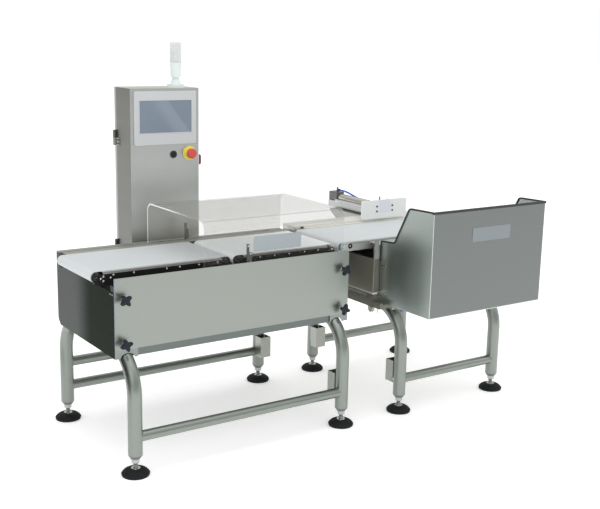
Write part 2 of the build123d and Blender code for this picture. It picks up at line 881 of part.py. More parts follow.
eye_left = weigh_x + eye_inset
front_eye_face = front_y + front_eye_inset
rear_eye_y = rear_y - rear_flange + rear_eye_bracket_inset
with BuildPart() as photo_eyes:
    block(eye_left, eye_left + eye_bracket_width, front_eye_face, front_eye_face + eye_bracket_thickness,
          deck_top, eye_bracket_top)
    block(eye_left + eye_bracket_width, eye_left + eye_bracket_width + eye_size,
          front_eye_face, front_eye_face + eye_bracket_thickness * 2, eye_bottom, eye_bottom + eye_height)
    block(eye_left, eye_left + eye_bracket_width, rear_eye_y, rear_eye_y + eye_bracket_thickness,
          panel_top, eye_bracket_top)
    block(eye_left, eye_left + eye_size, cover_y1 + rear_eye_gap, rear_eye_y,
          panel_top + rear_eye_rise, panel_top + rear_eye_rise + eye_height)
    reject_eye_x = reject_x + 2 * belt_outer_r
    block(reject_eye_x, reject_eye_x + eye_size, line_y + plate_out, line_y + plate_out + eye_size,
          eye_bottom, eye_bottom + eye_height / 2)
save(photo_eyes, "photo_eyes")

# Reject housing frame

with BuildPart() as reject_frame:
    ring_top = hoop_top + reject_frame_bar
    for y0 in (reject_y0, reject_y1 - reject_frame_bar):
        block(reject_x0, reject_x1, y0, y0 + reject_frame_bar, hoop_top, ring_top)
    for leg_x in leg_xs[2:]:
        half = reject_frame_bar / 2
        block(leg_x - half, leg_x + half, reject_y0, reject_y1, hoop_top, ring_top)
    for end_x, inward in ((reject_x0, 1), (reject_x1, -1)):
        x0, x1 = sorted((end_x, end_x + inward * side_bar_width))
        block(x0, x1, reject_y0 - bin_support_reach, reject_y1, side_bar_bottom, side_bar_bottom + side_bar_height)
        for y0, y1, top in (
            (reject_y0, reject_y0 + reject_post_wall, reject_post_top),
            (reject_y1 - reject_post_wall, reject_y1, reject_panel_top - sheet),
        ):
            x0, x1 = sorted((end_x, end_x + inward * reject_post))
            block(x0, x1, y0, y1, side_bar_bottom, top)
        for y0 in (reject_y0, reject_y1 - reject_post_depth):
            x0, x1 = sorted((end_x, end_x + inward * reject_post_wall))
            block(x0, x1, y0, y0 + reject_post_depth, side_bar_bottom, reject_end_top)
            x0, x1 = sorted((end_x, end_x - inward * sheet))
            block(x0, x1, y0, y0 + reject_post_depth, side_bar_bottom, reject_end_bottom)
        x0, x1 = sorted((end_x, end_x - inward * sheet))
        block(x0, x1, reject_y0 + reject_post_depth, reject_y1 - reject_post_depth,
              reject_end_bottom - pan_lip, reject_end_bottom)
    block(reject_x0, reject_x1, reject_y0 - bin_support_reach, reject_y0 - bin_support_reach + side_bar_width,
          side_bar_bottom, bin_bottom)
    wall_y = reject_y0 + wall_inset
    block(reject_x0, reject_x1, wall_y, reject_y1, reject_end_bottom - sheet, reject_end_bottom)
    block(reject_x0, reject_x1, wall_y, wall_y + sheet, reject_end_bottom, wall_top)
    for bar_x in (leg_xs[2] - reject_post / 2, reject_x1 - reject_post):
        block(bar_x, bar_x + reject_post, wall_y, reject_y1, cross_bar_top - cross_bar_height, cross_bar_top)
        for y0 in (line_y - plate_out, line_y + plate_in):
            block(bar_x, bar_x + reject_post, y0, y0 + side_plate_thickness, cross_bar_top, steel_plate_bottom)
    for y0 in (wall_y, reject_y1 - reject_post):
        block(reject_x0, reject_x1, y0, y0 + reject_post, front_rail_top - front_rail_height, front_rail_top)
    block(housing_x1, reject_x0, reject_y1 - joining_bar, reject_y1,
          joining_bar_bottom, joining_bar_bottom + joining_bar)
save(reject_frame, "reject_frame")

# Reject bin: one folded sheet box with a high front, and a rubber edge trim

bin_x0 = reject_x0 + bin_lead
bin_x1 = reject_x1 - bin_tail
bin_front = line_y - bin_reach + trim_proud


with BuildPart() as reject_bin:
    with BuildSketch(Plane.YZ.offset(bin_x0)):
        Polygon(
            (reject_y0, bin_bottom),
            (reject_y0, bin_side_top),
            (line_y - bin_step_y, bin_step_z),
            (line_y - bin_shoulder_y, bin_shoulder_z),
            (bin_front, bin_front_top),
            (bin_front, bin_bottom),
            align=None,
        )
    extrude(amount=bin_x1 - bin_x0)
    bends = [e for e in reject_bin.edges().filter_by(Axis.X) if bin_side_top < e.center().Z < bin_front_top]
    fillet(bends, radius=bin_corner)
    block(bin_x0 + bin_sheet, bin_x1 - bin_sheet, bin_front + bin_sheet, reject_y0 - bin_sheet,
          bin_bottom + bin_sheet, bin_front_top + bin_sheet, Mode.SUBTRACT)
    block(bin_x0 + bin_sheet, bin_x1 - bin_sheet, reject_y0 - bin_sheet, reject_y0,
          bin_back_top, bin_front_top, Mode.SUBTRACT)
    block(bin_x0 + bin_sheet, bin_x1 - bin_sheet, reject_y0 - bin_sheet, line_y - plate_out - bin_lip_gap,
          bin_back_top - bin_sheet, bin_back_top)
save(reject_bin, "reject_bin")

with BuildPart() as bin_edge_trim:
    for wall_x in (bin_x0 + bin_sheet / 2, bin_x1 - bin_sheet / 2):
        with BuildSketch(Plane.YZ.offset(wall_x - trim_width / 2)):
            with BuildLine():
                FilletPolyline(
                    (reject_y0, trim_bottom),
                    (reject_y0, bin_side_top),
                    (line_y - bin_step_y, bin_step_z),
                    (line_y - bin_shoulder_y, bin_shoulder_z),
                    (bin_front, bin_front_top),
                    radius=[trim_corner, bin_corner, bin_corner],
                )
            trace(line_width=2 * trim_proud)
        extrude(amount=trim_width)
    block(bin_x0 + bin_sheet / 2 - trim_width / 2, bin_x1 - bin_sheet / 2 + trim_width / 2,
          bin_front - trim_proud, bin_front + bin_sheet + trim_proud,
          bin_front_top - trim_cover, bin_front_top + trim_proud)
    add(reject_bin.part, mode=Mode.SUBTRACT)
save(bin_edge_trim, "bin_edge_trim")

# Pusher: bracket, guide unit, air cylinder, rods and plate

push_x = (bin_x0 + bin_x1) / 2 + pusher_offset
plate_y0 = line_y + belt_width / 2 + pusher_belt_gap
plate_y1 = plate_y0 + pusher_plate_thickness
block_y0 = plate_y1 + pusher_block_gap
block_y1 = block_y0 + pusher_block_length
pusher_end = line_y + pusher_reach
rear_block_y = pusher_end - rear_block_length
shelf_top = pusher_plate_bottom

with BuildPart() as pusher_bracket:
    half = pusher_bracket_width / 2
    block(push_x - half, push_x + half, rear_y, rear_y + bracket_plate_thickness, bracket_plate_bottom, shelf_top)
    block(push_x - half, push_x + half, rear_y, rear_block_y, shelf_top - shelf_thickness, shelf_top)
    for gusset_x in (push_x - half, push_x + half - gusset_thickness):
        with BuildSketch(Plane.YZ.offset(gusset_x)):
            Polygon(
                (rear_y + bracket_plate_thickness, bracket_plate_bottom),
                (rear_y + bracket_plate_thickness, shelf_top - shelf_thickness),
                (rear_block_y, shelf_top - shelf_thickness),
                align=None,
            )
        extrude(amount=gusset_thickness)
save(pusher_bracket, "pusher_bracket")

with BuildPart() as pusher_base:
    half = pusher_bar_width / 2
    block(push_x - half, push_x + half, block_y0, pusher_end - pusher_bar_tail, shelf_top, pusher_bar_top)
    chamfer(pusher_base.edges().filter_by(Axis.Y).group_by(Axis.Z)[0], length=pusher_bar_chamfer)
    block(push_x - pusher_block_width / 2, push_x + pusher_block_width / 2, block_y0, block_y1,
          pusher_block_bottom, pusher_block_top)
    bar_along_y(push_x, pusher_axis, block_y0, block_y1, piston_rod_d / 2 + journal_clearance, Mode.SUBTRACT)
    for side in (-1, 1):
        bar_along_y(push_x + side * guide_rod_x, guide_rod_z, block_y0, block_y1,
                    guide_rod_d / 2 + journal_clearance, Mode.SUBTRACT)
    bar_along_y(push_x + hose_side, hose_side_height, block_y1, block_y1 + fitting_length, fitting_d / 2)
    bar_along_z(push_x, block_y0 + pusher_block_length / 2, pusher_block_top, fitting_post_top, fitting_post_d / 2)
save(pusher_base, "pusher_base")

bore_d = piston_d + 2 * piston_clearance
barrel_end = rear_block_y + barrel_in_block
fitting_y = rear_block_y + fitting_inset
with BuildPart() as pusher_cylinder:
    bar_along_y(push_x, pusher_axis, block_y1, rear_block_y, barrel_d / 2)
    block(push_x - rear_block_width / 2, push_x + rear_block_width / 2, rear_block_y, pusher_end,
          pusher_bar_top, rear_block_top)
    top_edges = pusher_cylinder.edges().filter_by(Axis.Y).group_by(Axis.Z)[-1]
    fillet(top_edges, radius=rear_block_corner)
    bar_along_z(push_x, fitting_y, rear_block_top, fitting_post_top, fitting_post_d / 2)
    bar_along_y(push_x, hose_height, fitting_y - fitting_length, fitting_y, fitting_d / 2)
    bar_along_y(push_x, pusher_axis, block_y1, block_y1 + barrel_front_wall,
                piston_rod_d / 2 + journal_clearance, Mode.SUBTRACT)
    bar_along_y(push_x, pusher_axis, block_y1 + barrel_front_wall, barrel_end, bore_d / 2, Mode.SUBTRACT)
save(pusher_cylinder, "pusher_cylinder")

with BuildPart() as pusher_rods:
    piston_back = barrel_end - barrel_back_room
    bar_along_y(push_x, pusher_axis, plate_y1, piston_back, piston_rod_d / 2)
    bar_along_y(push_x, pusher_axis, piston_back - piston_length, piston_back, piston_d / 2)
    for side in (-1, 1):
        bar_along_y(push_x + side * guide_rod_x, guide_rod_z, plate_y1,
                    block_y1 + pusher_stroke + guide_rod_tail, guide_rod_d / 2)
save(pusher_rods, "pusher_rods")

with BuildPart() as pusher_plate:
    with BuildSketch(Plane.XZ.offset(-plate_y0)):
        with Locations((push_x, (pusher_plate_bottom + pusher_plate_top) / 2)):
            RectangleRounded(pusher_plate_length, pusher_plate_top - pusher_plate_bottom, pusher_plate_corner)
    extrude(amount=-pusher_plate_thickness)
save(pusher_plate, "pusher_plate")


def bend_radii(points):
    """The largest arc that each corner's two runs allow."""
    radii = []
    for before, corner, after in zip(points, points[1:], points[2:]):
        run_in = Vector(*corner) - Vector(*before)
        run_out = Vector(*after) - Vector(*corner)
        half_turn = radians(run_in.get_angle(run_out)) / 2
        radii.append(0.45 * min(run_in.length, run_out.length) / tan(half_turn))
    return radii


hose_y0 = fitting_y - fitting_length
hose_run = hose_y0 - block_y1 - fitting_length
hose_points = [
    (push_x, hose_y0, hose_height),
    (push_x, hose_y0 - hose_straight * hose_run, hose_height),
    (push_x + hose_side + hose_sway, hose_y0 - hose_drop_middle * hose_run, hose_side_height - hose_sway),
    (push_x + hose_side, hose_y0 - hose_drop_end * hose_run, hose_side_height),
    (push_x + hose_side, hose_y0 - hose_run, hose_side_height),
]
with BuildPart() as air_hose:
    with BuildLine() as hose_path:
        FilletPolyline(*hose_points, radius=bend_radii(hose_points))
    with BuildSketch(Plane(origin=hose_path.line @ 0, z_dir=hose_path.line % 0)):
        Circle(hose_d / 2)
    sweep(path=hose_path.line)
print("air hose radii", [round(r) for r in bend_radii(hose_points)], "volume", round(air_hose.part.volume),
      "section times length", round(pi * hose_d ** 2 / 4 * hose_path.wire().length))
save(air_hose, "air_hose")

# Control cabinet: folded shell, rear door on two hinges, lock, mounting plate and carrier

cab_x0 = housing_x0 + cabinet_lead
cab_x1 = cab_x0 + cabinet_width
cab_y0 = rear_y + cabinet_gap
cab_y1 = cab_y0 + cabinet_depth
shell_y1 = cab_y1 - door_thickness - door_gap
hinge_x = cab_x0 - hinge_side_gap
hinge_y = shell_y1 + door_gap + hinge_axis_back
hinge_zs = (cabinet_bottom + hinge_inset, cabinet_top - hinge_inset - hinge_length)
lock_x = cab_x1 - lock_inset
flange_back = shell_y1 - sheet
cam_y1 = flange_back - lock_cam_gap
hmi_x = cab_x0 + cabinet_width / 2
hmi_back_width = hmi_width - 2 * hmi_back_inset
hmi_back_height = hmi_height - 2 * hmi_back_inset
start_x = cab_x0 + button_x
stop_x = cab_x0 + estop_x
switch_axis_y = cab_y0 + switch_y

with BuildPart() as cabinet_shell:
    block(cab_x0, cab_x1, cab_y0, shell_y1, cabinet_bottom, cabinet_top)
    fillet(cabinet_shell.edges().filter_by(Axis.Y), radius=cabinet_corner)
    block(cab_x0 + sheet, cab_x1 - sheet, cab_y0 + sheet, flange_back,
          cabinet_bottom + sheet, cabinet_top - sheet, Mode.SUBTRACT)
    block(cab_x0 + cabinet_flange, cab_x1 - cabinet_flange, flange_back, shell_y1,
          cabinet_bottom + cabinet_flange, cabinet_top - cabinet_flange, Mode.SUBTRACT)
    block(hmi_x - hmi_back_width / 2 - run_clearance, hmi_x + hmi_back_width / 2 + run_clearance,
          cab_y0, cab_y0 + sheet,
          hmi_center - hmi_back_height / 2 - run_clearance, hmi_center + hmi_back_height / 2 + run_clearance,
          Mode.SUBTRACT)
    for hole_x, hole_z in ((start_x, button_z), (stop_x, estop_z)):
        bar_along_y(hole_x, hole_z, cab_y0, cab_y0 + sheet, panel_hole_d / 2, Mode.SUBTRACT)
    bar_along_x(switch_axis_y, switch_z, cab_x1 - sheet, cab_x1, switch_shaft_d / 2 + switch_hole_gap, Mode.SUBTRACT)
save(cabinet_shell, "cabinet_shell")

with BuildPart() as cabinet_door:
    door_y0 = shell_y1 + door_gap
    block(cab_x0 + door_gap, cab_x1, door_y0, cab_y1, cabinet_bottom, cabinet_top)
    block(cab_x0 + door_gap + sheet, cab_x1 - sheet, door_y0, cab_y1 - sheet,
          cabinet_bottom + sheet, cabinet_top - sheet, Mode.SUBTRACT)
    bar_along_y(lock_x, lock_height, cab_y1 - sheet, cab_y1, lock_shaft_d / 2 + journal_clearance, Mode.SUBTRACT)
    for hinge_z in hinge_zs:
        knuckle_z = hinge_z + hinge_length / 2 + run_clearance
        block(hinge_x, cab_x0 + door_gap + sheet, hinge_y - hinge_leaf / 2, hinge_y + hinge_leaf / 2,
              knuckle_z, hinge_z + hinge_length)
        bar_along_z(hinge_x, hinge_y, knuckle_z, hinge_z + hinge_length, hinge_knuckle_d / 2)
        bar_along_z(hinge_x, hinge_y, knuckle_z, hinge_z + hinge_length,
                    hinge_pin_d / 2 + journal_clearance, Mode.SUBTRACT)
save(cabinet_door, "cabinet_door")

with BuildPart() as cabinet_hinges:
    for hinge_z in hinge_zs:
        half = hinge_z + hinge_length / 2
        block(cab_x0 - hinge_leaf, cab_x0, shell_y1 - hinge_leaf_width, hinge_y, hinge_z, half)
        bar_along_z(hinge_x, hinge_y, hinge_z, half, hinge_knuckle_d / 2)
        bar_along_z(hinge_x, hinge_y, half, hinge_z + hinge_length, hinge_pin_d / 2)
save(cabinet_hinges, "cabinet_hinges")

with BuildPart() as door_lock:
    bar_along_y(lock_x, lock_height, cab_y1, cab_y1 + lock_head_length, lock_head_d / 2)
    bar_along_y(lock_x, lock_height, cam_y1 - lock_cam_thickness, cab_y1, lock_shaft_d / 2)
    block(lock_x - lock_cam_width / 2, lock_x + lock_cam_width / 2, cam_y1 - lock_cam_thickness, cam_y1,
          lock_height - lock_cam_width / 2, lock_height - lock_cam_width / 2 + lock_cam_length)
save(door_lock, "door_lock")

with BuildPart() as cabinet_bracket:
    for carrier_z in (carrier_low, carrier_high):
        block(cab_x0, cab_x1, rear_y, cab_y0, carrier_z, carrier_z + carrier_height)
        block(cab_x0, cab_x1, rear_y + carrier_wall, cab_y0 - carrier_wall,
              carrier_z + carrier_wall, carrier_z + carrier_height - carrier_wall, Mode.SUBTRACT)
save(cabinet_bracket, "cabinet_bracket")

with BuildPart() as control_backplate:
    plate_y = cab_y0 + sheet + backplate_standoff
    plate_x0 = cab_x0 + backplate_margin
    plate_x1 = cab_x1 - backplate_margin
    plate_z0 = cabinet_bottom + backplate_margin
    plate_z1 = backplate_top - 2 * backplate_margin
    block(plate_x0, plate_x1, plate_y, plate_y + sheet, plate_z0, plate_z1)
    for standoff_x in (plate_x0 + standoff_inset, plate_x1 - standoff_inset):
        for standoff_z in (plate_z0 + standoff_inset, plate_z1 - standoff_inset):
            bar_along_y(standoff_x, standoff_z, cab_y0 + sheet, plate_y, standoff_d / 2)
    module_y = plate_y + sheet
    module_width = (plate_x1 - plate_x0 - 2 * module_side - 2 * module_gap) / 3
    for shelf in range(3):
        shelf_z = plate_z0 + module_bottom + shelf * module_pitch
        for module in range(3):
            module_x = plate_x0 + module_side + module * (module_width + module_gap)
            depth = module_depth - module_step * ((shelf + module) % 2)
            block(module_x, module_x + module_width, module_y, module_y + depth,
                  shelf_z, shelf_z + module_height)
save(control_backplate, "control_backplate")

# Operator panel, push button, emergency stop, main switch and signal light

with BuildPart() as hmi_housing:
    with BuildSketch(Plane.XZ.offset(-cab_y0)):
        with Locations((hmi_x, hmi_center)):
            RectangleRounded(hmi_width, hmi_height, hmi_corner)
    extrude(amount=hmi_proud)
    chamfer(hmi_housing.faces().sort_by(Axis.Y)[0].edges(), length=hmi_chamfer)
    block(hmi_x - hmi_back_width / 2, hmi_x + hmi_back_width / 2, cab_y0, cab_y0 + hmi_back_depth,
          hmi_center - hmi_back_height / 2, hmi_center + hmi_back_height / 2)
    block(hmi_x - screen_width / 2 - run_clearance, hmi_x + screen_width / 2 + run_clearance,
          cab_y0 - hmi_proud, cab_y0 - hmi_proud + screen_recess,
          screen_center - screen_height / 2 - run_clearance, screen_center + screen_height / 2 + run_clearance,
          Mode.SUBTRACT)
save(hmi_housing, "hmi_housing")

with BuildPart() as hmi_screen:
    screen_back = cab_y0 - hmi_proud + screen_recess
    block(hmi_x - screen_width / 2, hmi_x + screen_width / 2, screen_back - screen_thickness, screen_back,
          screen_center - screen_height / 2, screen_center + screen_height / 2)
save(hmi_screen, "hmi_screen")

with BuildPart() as button_collars:
    bar_along_y(start_x, button_z, cab_y0 - collar_height, cab_y0, collar_d / 2)
    bar_along_y(start_x, button_z, cab_y0 - collar_height, cab_y0, button_d / 2 + plunger_clearance, Mode.SUBTRACT)
    bar_along_y(stop_x, estop_z, cab_y0 - estop_collar_height, cab_y0, estop_collar_d / 2)
    bar_along_y(stop_x, estop_z, cab_y0 - estop_collar_height - estop_neck_height, cab_y0, estop_neck_d / 2)
    bar_along_y(stop_x, estop_z, cab_y0 - estop_collar_height - estop_neck_height, cab_y0,
                estop_stem_d / 2 + plunger_clearance, Mode.SUBTRACT)
save(button_collars, "button_collars")

with BuildPart() as start_button:
    bar_along_y(start_x, button_z, cab_y0 - button_proud, cab_y0 + button_depth, button_d / 2)
    chamfer(start_button.faces().sort_by(Axis.Y)[0].edges(), length=button_chamfer)
save(start_button, "start_button")

with BuildPart() as estop_head:
    head_back = cab_y0 - estop_collar_height - estop_neck_height - estop_travel - estop_gap
    bar_along_y(stop_x, estop_z, head_back - estop_head_height, head_back, estop_head_d / 2)
    fillet(estop_head.faces().sort_by(Axis.Y)[0].edges(), radius=estop_head_corner)
    bar_along_y(stop_x, estop_z, head_back, cab_y0 + estop_stem_depth, estop_stem_d / 2)
save(estop_head, "estop_head")

with BuildPart() as switch_base:
    bar_along_x(switch_axis_y, switch_z, cab_x1, cab_x1 + switch_base_height, switch_base_d / 2)
    bar_along_x(switch_axis_y, switch_z, cab_x1, cab_x1 + switch_base_height,
                switch_shaft_d / 2 + journal_clearance, Mode.SUBTRACT)
save(switch_base, "switch_base")

with BuildPart() as switch_knob:
    knob_x0 = cab_x1 + switch_base_height + run_clearance
    grip_x = knob_x0 + switch_knob_height
    bar_along_x(switch_axis_y, switch_z, knob_x0, grip_x, switch_knob_d / 2)
    grip_half = switch_knob_d / 2 - switch_grip_inset
    block(grip_x, grip_x + switch_grip_height, switch_axis_y - switch_grip_width / 2,
          switch_axis_y + switch_grip_width / 2, switch_z - grip_half, switch_z + grip_half)
    fillet(switch_knob.edges().filter_by(Axis.Y).group_by(Axis.X)[-1], radius=switch_grip_width / 2)
    bar_along_x(switch_axis_y, switch_z, cab_x1 - switch_shaft_length, knob_x0, switch_shaft_d / 2)
save(switch_knob, "switch_knob")

with BuildPart() as beacon_stack:
    cone_z = cabinet_top + beacon_flange_height
    cup_z = cone_z + beacon_cone_height
    lens_z = cup_z + beacon_cup_height
    with BuildSketch(Plane.XZ):
        Polygon(
            (0, cabinet_top),
            (beacon_flange_d / 2, cabinet_top),
            (beacon_flange_d / 2, cone_z),
            (beacon_cone_d / 2, cone_z),
            (beacon_neck_d / 2, cup_z),
            (beacon_cup_d / 2, cup_z),
            (beacon_cup_top_d / 2, lens_z),
            (beacon_spigot_d / 2, lens_z),
            (beacon_spigot_d / 2, lens_z + beacon_spigot_height),
            (0, lens_z + beacon_spigot_height),
            align=None,
        )
    revolve(axis=Axis.Z)
beacon_place = (cab_x0 + beacon_x, cab_y0 + beacon_y)
with BuildPart() as beacon_base:
    with Locations(beacon_place):
        add(beacon_stack.part)
save(beacon_base, "beacon_base")

with BuildPart() as beacon_lens:
    bar_along_z(*beacon_place, lens_z, lens_z + beacon_lens_height, beacon_lens_d / 2)
    fillet(beacon_lens.faces().sort_by(Axis.Z)[-1].edges(), radius=beacon_lens_corner)
    bar_along_z(*beacon_place, lens_z, lens_z + beacon_lens_height - beacon_lens_wall,
                beacon_spigot_d / 2 + plunger_clearance, Mode.SUBTRACT)
save(beacon_lens, "beacon_lens")
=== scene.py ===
import bmesh
import bpy
from math import atan2, cos, pi, radians, sin
from mathutils import Matrix, Vector


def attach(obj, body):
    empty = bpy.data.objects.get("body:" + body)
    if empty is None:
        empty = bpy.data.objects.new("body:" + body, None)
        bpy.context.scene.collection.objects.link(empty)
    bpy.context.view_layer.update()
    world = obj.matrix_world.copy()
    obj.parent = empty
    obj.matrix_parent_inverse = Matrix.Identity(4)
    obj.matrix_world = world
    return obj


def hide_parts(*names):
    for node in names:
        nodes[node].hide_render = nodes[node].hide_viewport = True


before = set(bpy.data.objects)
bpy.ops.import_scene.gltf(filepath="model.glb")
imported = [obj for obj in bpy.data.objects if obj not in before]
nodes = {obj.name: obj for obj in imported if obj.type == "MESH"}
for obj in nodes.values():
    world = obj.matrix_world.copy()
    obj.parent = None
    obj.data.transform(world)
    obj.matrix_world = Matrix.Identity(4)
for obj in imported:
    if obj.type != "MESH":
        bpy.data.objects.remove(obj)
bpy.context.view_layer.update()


# The studio. White paper lies under the machine and runs far behind it, and the light is large and soft.
# The sheet steel takes its grey from the dark ends of the room and from one dark card beside the machine,
# which only reflections show.
scene = bpy.context.scene
camera = bpy.data.objects.new("camera", bpy.data.cameras.new("camera"))
scene.collection.objects.link(camera)
scene.camera = camera
camera.data.lens = 60.32
camera.data.clip_end = 60
heading, downward, roll = -34.57, 12.21, 1.24
camera.matrix_world = (
    Matrix.Translation((-2.227, -3.3015, 1.5))
    @ Matrix.Rotation(radians(heading), 4, "Z")
    @ Matrix.Rotation(radians(90 - downward), 4, "X")
    @ Matrix.Rotation(radians(roll), 4, "Z")
)
scene.view_settings.view_transform = "Standard"


class Shade:
    """A value in a material's nodes. Python sums on it add Math nodes."""

    def __init__(self, tree, socket=None):
        self.tree = tree
        self.socket = socket

    def node(self, kind, settings, values, output=0):
        """One output of a new node, with its settings and the values or Shades on its inputs."""
        made = self.tree.nodes.new(kind)
        for name, value in settings.items():
            if name == "stops":
                while len(made.color_ramp.elements) < len(value):
                    made.color_ramp.elements.new(0.5)
                for stop, (position, color) in zip(made.color_ramp.elements, value):
                    stop.position = position
                    stop.color = color
            else:
                setattr(made, name, value)
        for key, value in values.items():
            if isinstance(value, Shade):
                self.tree.links.new(value.socket, made.inputs[key])
            else:
                made.inputs[key].default_value = value
        return Shade(self.tree, made.outputs[output])

    def math(self, operation, *values):
        """The outcome of a Math node."""
        return self.node("ShaderNodeMath", {"operation": operation}, dict(enumerate(values)))

    def __add__(self, other):
        return self.math("ADD", self, other)

    def __radd__(self, other):
        return self.math("ADD", other, self)

    def __sub__(self, other):
        return self.math("SUBTRACT", self, other)

    def __rsub__(self, other):
        return self.math("SUBTRACT", other, self)

    def __mul__(self, other):
        return self.math("MULTIPLY", self, other)

    def axis(self, number):
        """One of the three numbers of a position."""
        return self.node("ShaderNodeSeparateXYZ", {}, {"Vector": self}, number)

    def axes(self):
        """All three numbers of a position."""
        return [self.axis(number) for number in range(3)]

    def noise(self, stretch, detail=2.0):
        """Noise from 0 to 1, with that many grains to the metre along X, Y and Z."""
        spread = self.node("ShaderNodeVectorMath", {"operation": "MULTIPLY"}, {0: self, 1: stretch})
        return self.node("ShaderNodeTexNoise", {}, {"Vector": spread, "Scale": 1.0, "Detail": detail})

    def band(self, low, high):
        """0 below low and 1 above high, with a soft step between."""
        return self.node(
            "ShaderNodeMapRange", {"interpolation_type": "SMOOTHSTEP"},
            {"Value": self, "From Min": low, "From Max": high},
        )

    def fade(self, low, high):
        """1 below low and 0 above high, with a soft step between."""
        return 1 - self.band(low, high)

    def mix(self, first, second):
        """The first colour where this value is 0 and the second where it is 1."""
        return self.node(
            "ShaderNodeMix", {"data_type": "RGBA"},
            {0: self, 6: rgba(first), 7: rgba(second)}, 2,
        )

    def bump(self, depth):
        """A normal that this height shapes, with its full depth in metres."""
        return self.node("ShaderNodeBump", {}, {"Height": self, "Distance": depth, "Strength": 1.0})


def rgba(color):
    """A colour as a socket takes it: a Shade as it is, or four numbers."""
    if isinstance(color, Shade):
        return color
    return (*color, 1.0) if len(color) == 3 else color


def start_finish(name):
    """A new material and the position on its piece, as a Shade."""
    material = bpy.data.materials.new(name)
    material.use_nodes = True
    return material, Shade(material.node_tree).node("ShaderNodeTexCoord", {}, {}, "Object")


def set_finish(material, values):
    """Puts the values on the material's surface, as links or as plain values."""
    surface = material.node_tree.nodes["Principled BSDF"]
    for key, value in values.items():
        if isinstance(value, Shade):
            material.node_tree.links.new(value.socket, surface.inputs[key])
        elif key == "Base Color":
            surface.inputs[key].default_value = rgba(value)
        else:
            surface.inputs[key].default_value = value
    return material


world = bpy.data.worlds.new("studio")
scene.world = world
world.use_nodes = True
sky = Shade(world.node_tree).node("ShaderNodeTexCoord", {}, {}, "Generated")
room = sky.node(
    "ShaderNodeValToRGB",
    {"stops": [(0.0, (0.30, 0.31, 0.30, 1)), (0.25, (0.55, 0.57, 0.55, 1)), (0.7, (1.0, 1.0, 1.0, 1))]},
    {0: sky.axis(2)},
)
seen_in_metal = sky.node("ShaderNodeLightPath", {}, {}, "Is Glossy Ray")
room_light = seen_in_metal.mix((1.0, 1.0, 1.0), room)
world.node_tree.links.new(room_light.socket, world.node_tree.nodes["Background"].inputs["Color"])
world.node_tree.nodes["Background"].inputs["Strength"].default_value = 1.0


def add_lamp(name, place, aim, size, watts):
    """A soft box that faces a point."""
    lamp = bpy.data.lights.new(name, "AREA")
    lamp.shape = "RECTANGLE"
    lamp.size, lamp.size_y = size
    lamp.energy = watts
    made = bpy.data.objects.new(name, lamp)
    scene.collection.objects.link(made)
    made.location = place
    made.rotation_euler = (Vector(aim) - Vector(place)).to_track_quat("-Z", "Y").to_euler()


add_lamp("top_box", (-0.6, -0.8, 3.6), (0, 0, 0.5), (3.5, 2.5), 18)
add_lamp("front_box", (-3.2, -3.4, 2.4), (0, 0, 0.6), (1.2, 2.2), 10)
add_lamp("right_box", (3.6, -1.8, 1.8), (0.4, 0, 0.6), (1.0, 2.2), 8)


def flat_square(name, half_side, material):
    """A level square about the origin."""
    grid = bmesh.new()
    bmesh.ops.create_grid(grid, x_segments=1, y_segments=1, size=half_side)
    data = bpy.data.meshes.new(name)
    grid.to_mesh(data)
    grid.free()
    data.materials.append(material)
    made = bpy.data.objects.new(name, data)
    scene.collection.objects.link(made)
    return made


paper, paper_place = start_finish("white_paper")
fibres = paper_place.noise((40, 40, 40), 4)
set_finish(paper, {
    "Base Color": fibres.mix((0.93, 0.93, 0.93), (0.96, 0.96, 0.96)),
    "Roughness": 0.9,
    "Specular IOR Level": 0.0,
    "Emission Color": (1.0, 1.0, 1.0, 1.0),
    "Emission Strength": 0.3,
})
paper_floor = flat_square("paper_floor", 45, paper)

card_cloth = start_finish("dark_cloth")[0]
set_finish(card_cloth, {"Base Color": (0.02, 0.024, 0.02), "Roughness": 1.0})
dark_card = flat_square("dark_card", 1, card_cloth)
dark_card.matrix_world = (
    Matrix.Translation((-2.0, 0.35, 0.6))
    @ Matrix.Rotation(pi / 2, 4, "Y")
    @ Matrix.Diagonal((0.8, 1.0, 1.0, 1.0))
)
for kind_of_ray in ("camera", "diffuse", "transmission", "shadow", "volume_scatter"):
    setattr(dark_card, "visible_" + kind_of_ray, False)


# The two stands. Four hoops of 50 mm sanitary tube, bent on a large former, satin polished, with thinner rails
# welded in low down. A flat, slightly darker weld bead runs round each rail where it meets a leg.
def brushed(name, color, roughness, stretch, streak=0.12, depth=0.00008, tint=None, metal=1.0, edge=1.0):
    """Stainless steel with a grain of fine lines and broad, faint bands.

    tint gives (mask, colour) pairs from the place's axes, here colours painted where light, shade and reflections
    fall, metal is how metallic it is, and edge is how much of the room it mirrors at a flat angle.
    """
    material, place = start_finish(name)
    lines = place.noise(stretch, 3)
    bands = place.noise(tuple(each / 9 for each in stretch), 2)
    tone = lines * 0.5 + bands * 0.5
    dark = tuple(each * (1 - streak) for each in color)
    light = tuple(min(1.0, each * (1 + streak)) for each in color)
    coat = tone.mix(dark, light)
    for where, tinted in (tint(*place.axes()) if tint else ()):
        coat = where.mix(coat, tone.mix(tuple(each * (1 - streak) for each in tinted), tinted))
    return set_finish(material, {
        "Base Color": coat,
        "Metallic": metal,
        "Specular Tint": (edge, edge, edge, 1.0),
        "Roughness": roughness + (tone - 0.5) * 0.16,
        "Normal": lines.bump(depth),
    })


def dress(material, *names):
    """Gives CAD nodes their finish."""
    for name in names:
        nodes[name].data.materials.clear()
        nodes[name].data.materials.append(material)


to_front, to_back, to_left, to_right, to_top = (0, -1, 0), (0, 1, 0), (-1, 0, 0), (1, 0, 0), (0, 0, 1)


def facing(point, way, turn=0.0):
    """A place at a point, with its Z axis along way."""
    aim = Vector(way).to_track_quat("Z", "Y").to_matrix().to_4x4()
    return Matrix.Translation(point) @ aim @ Matrix.Rotation(turn, 4, "Z")


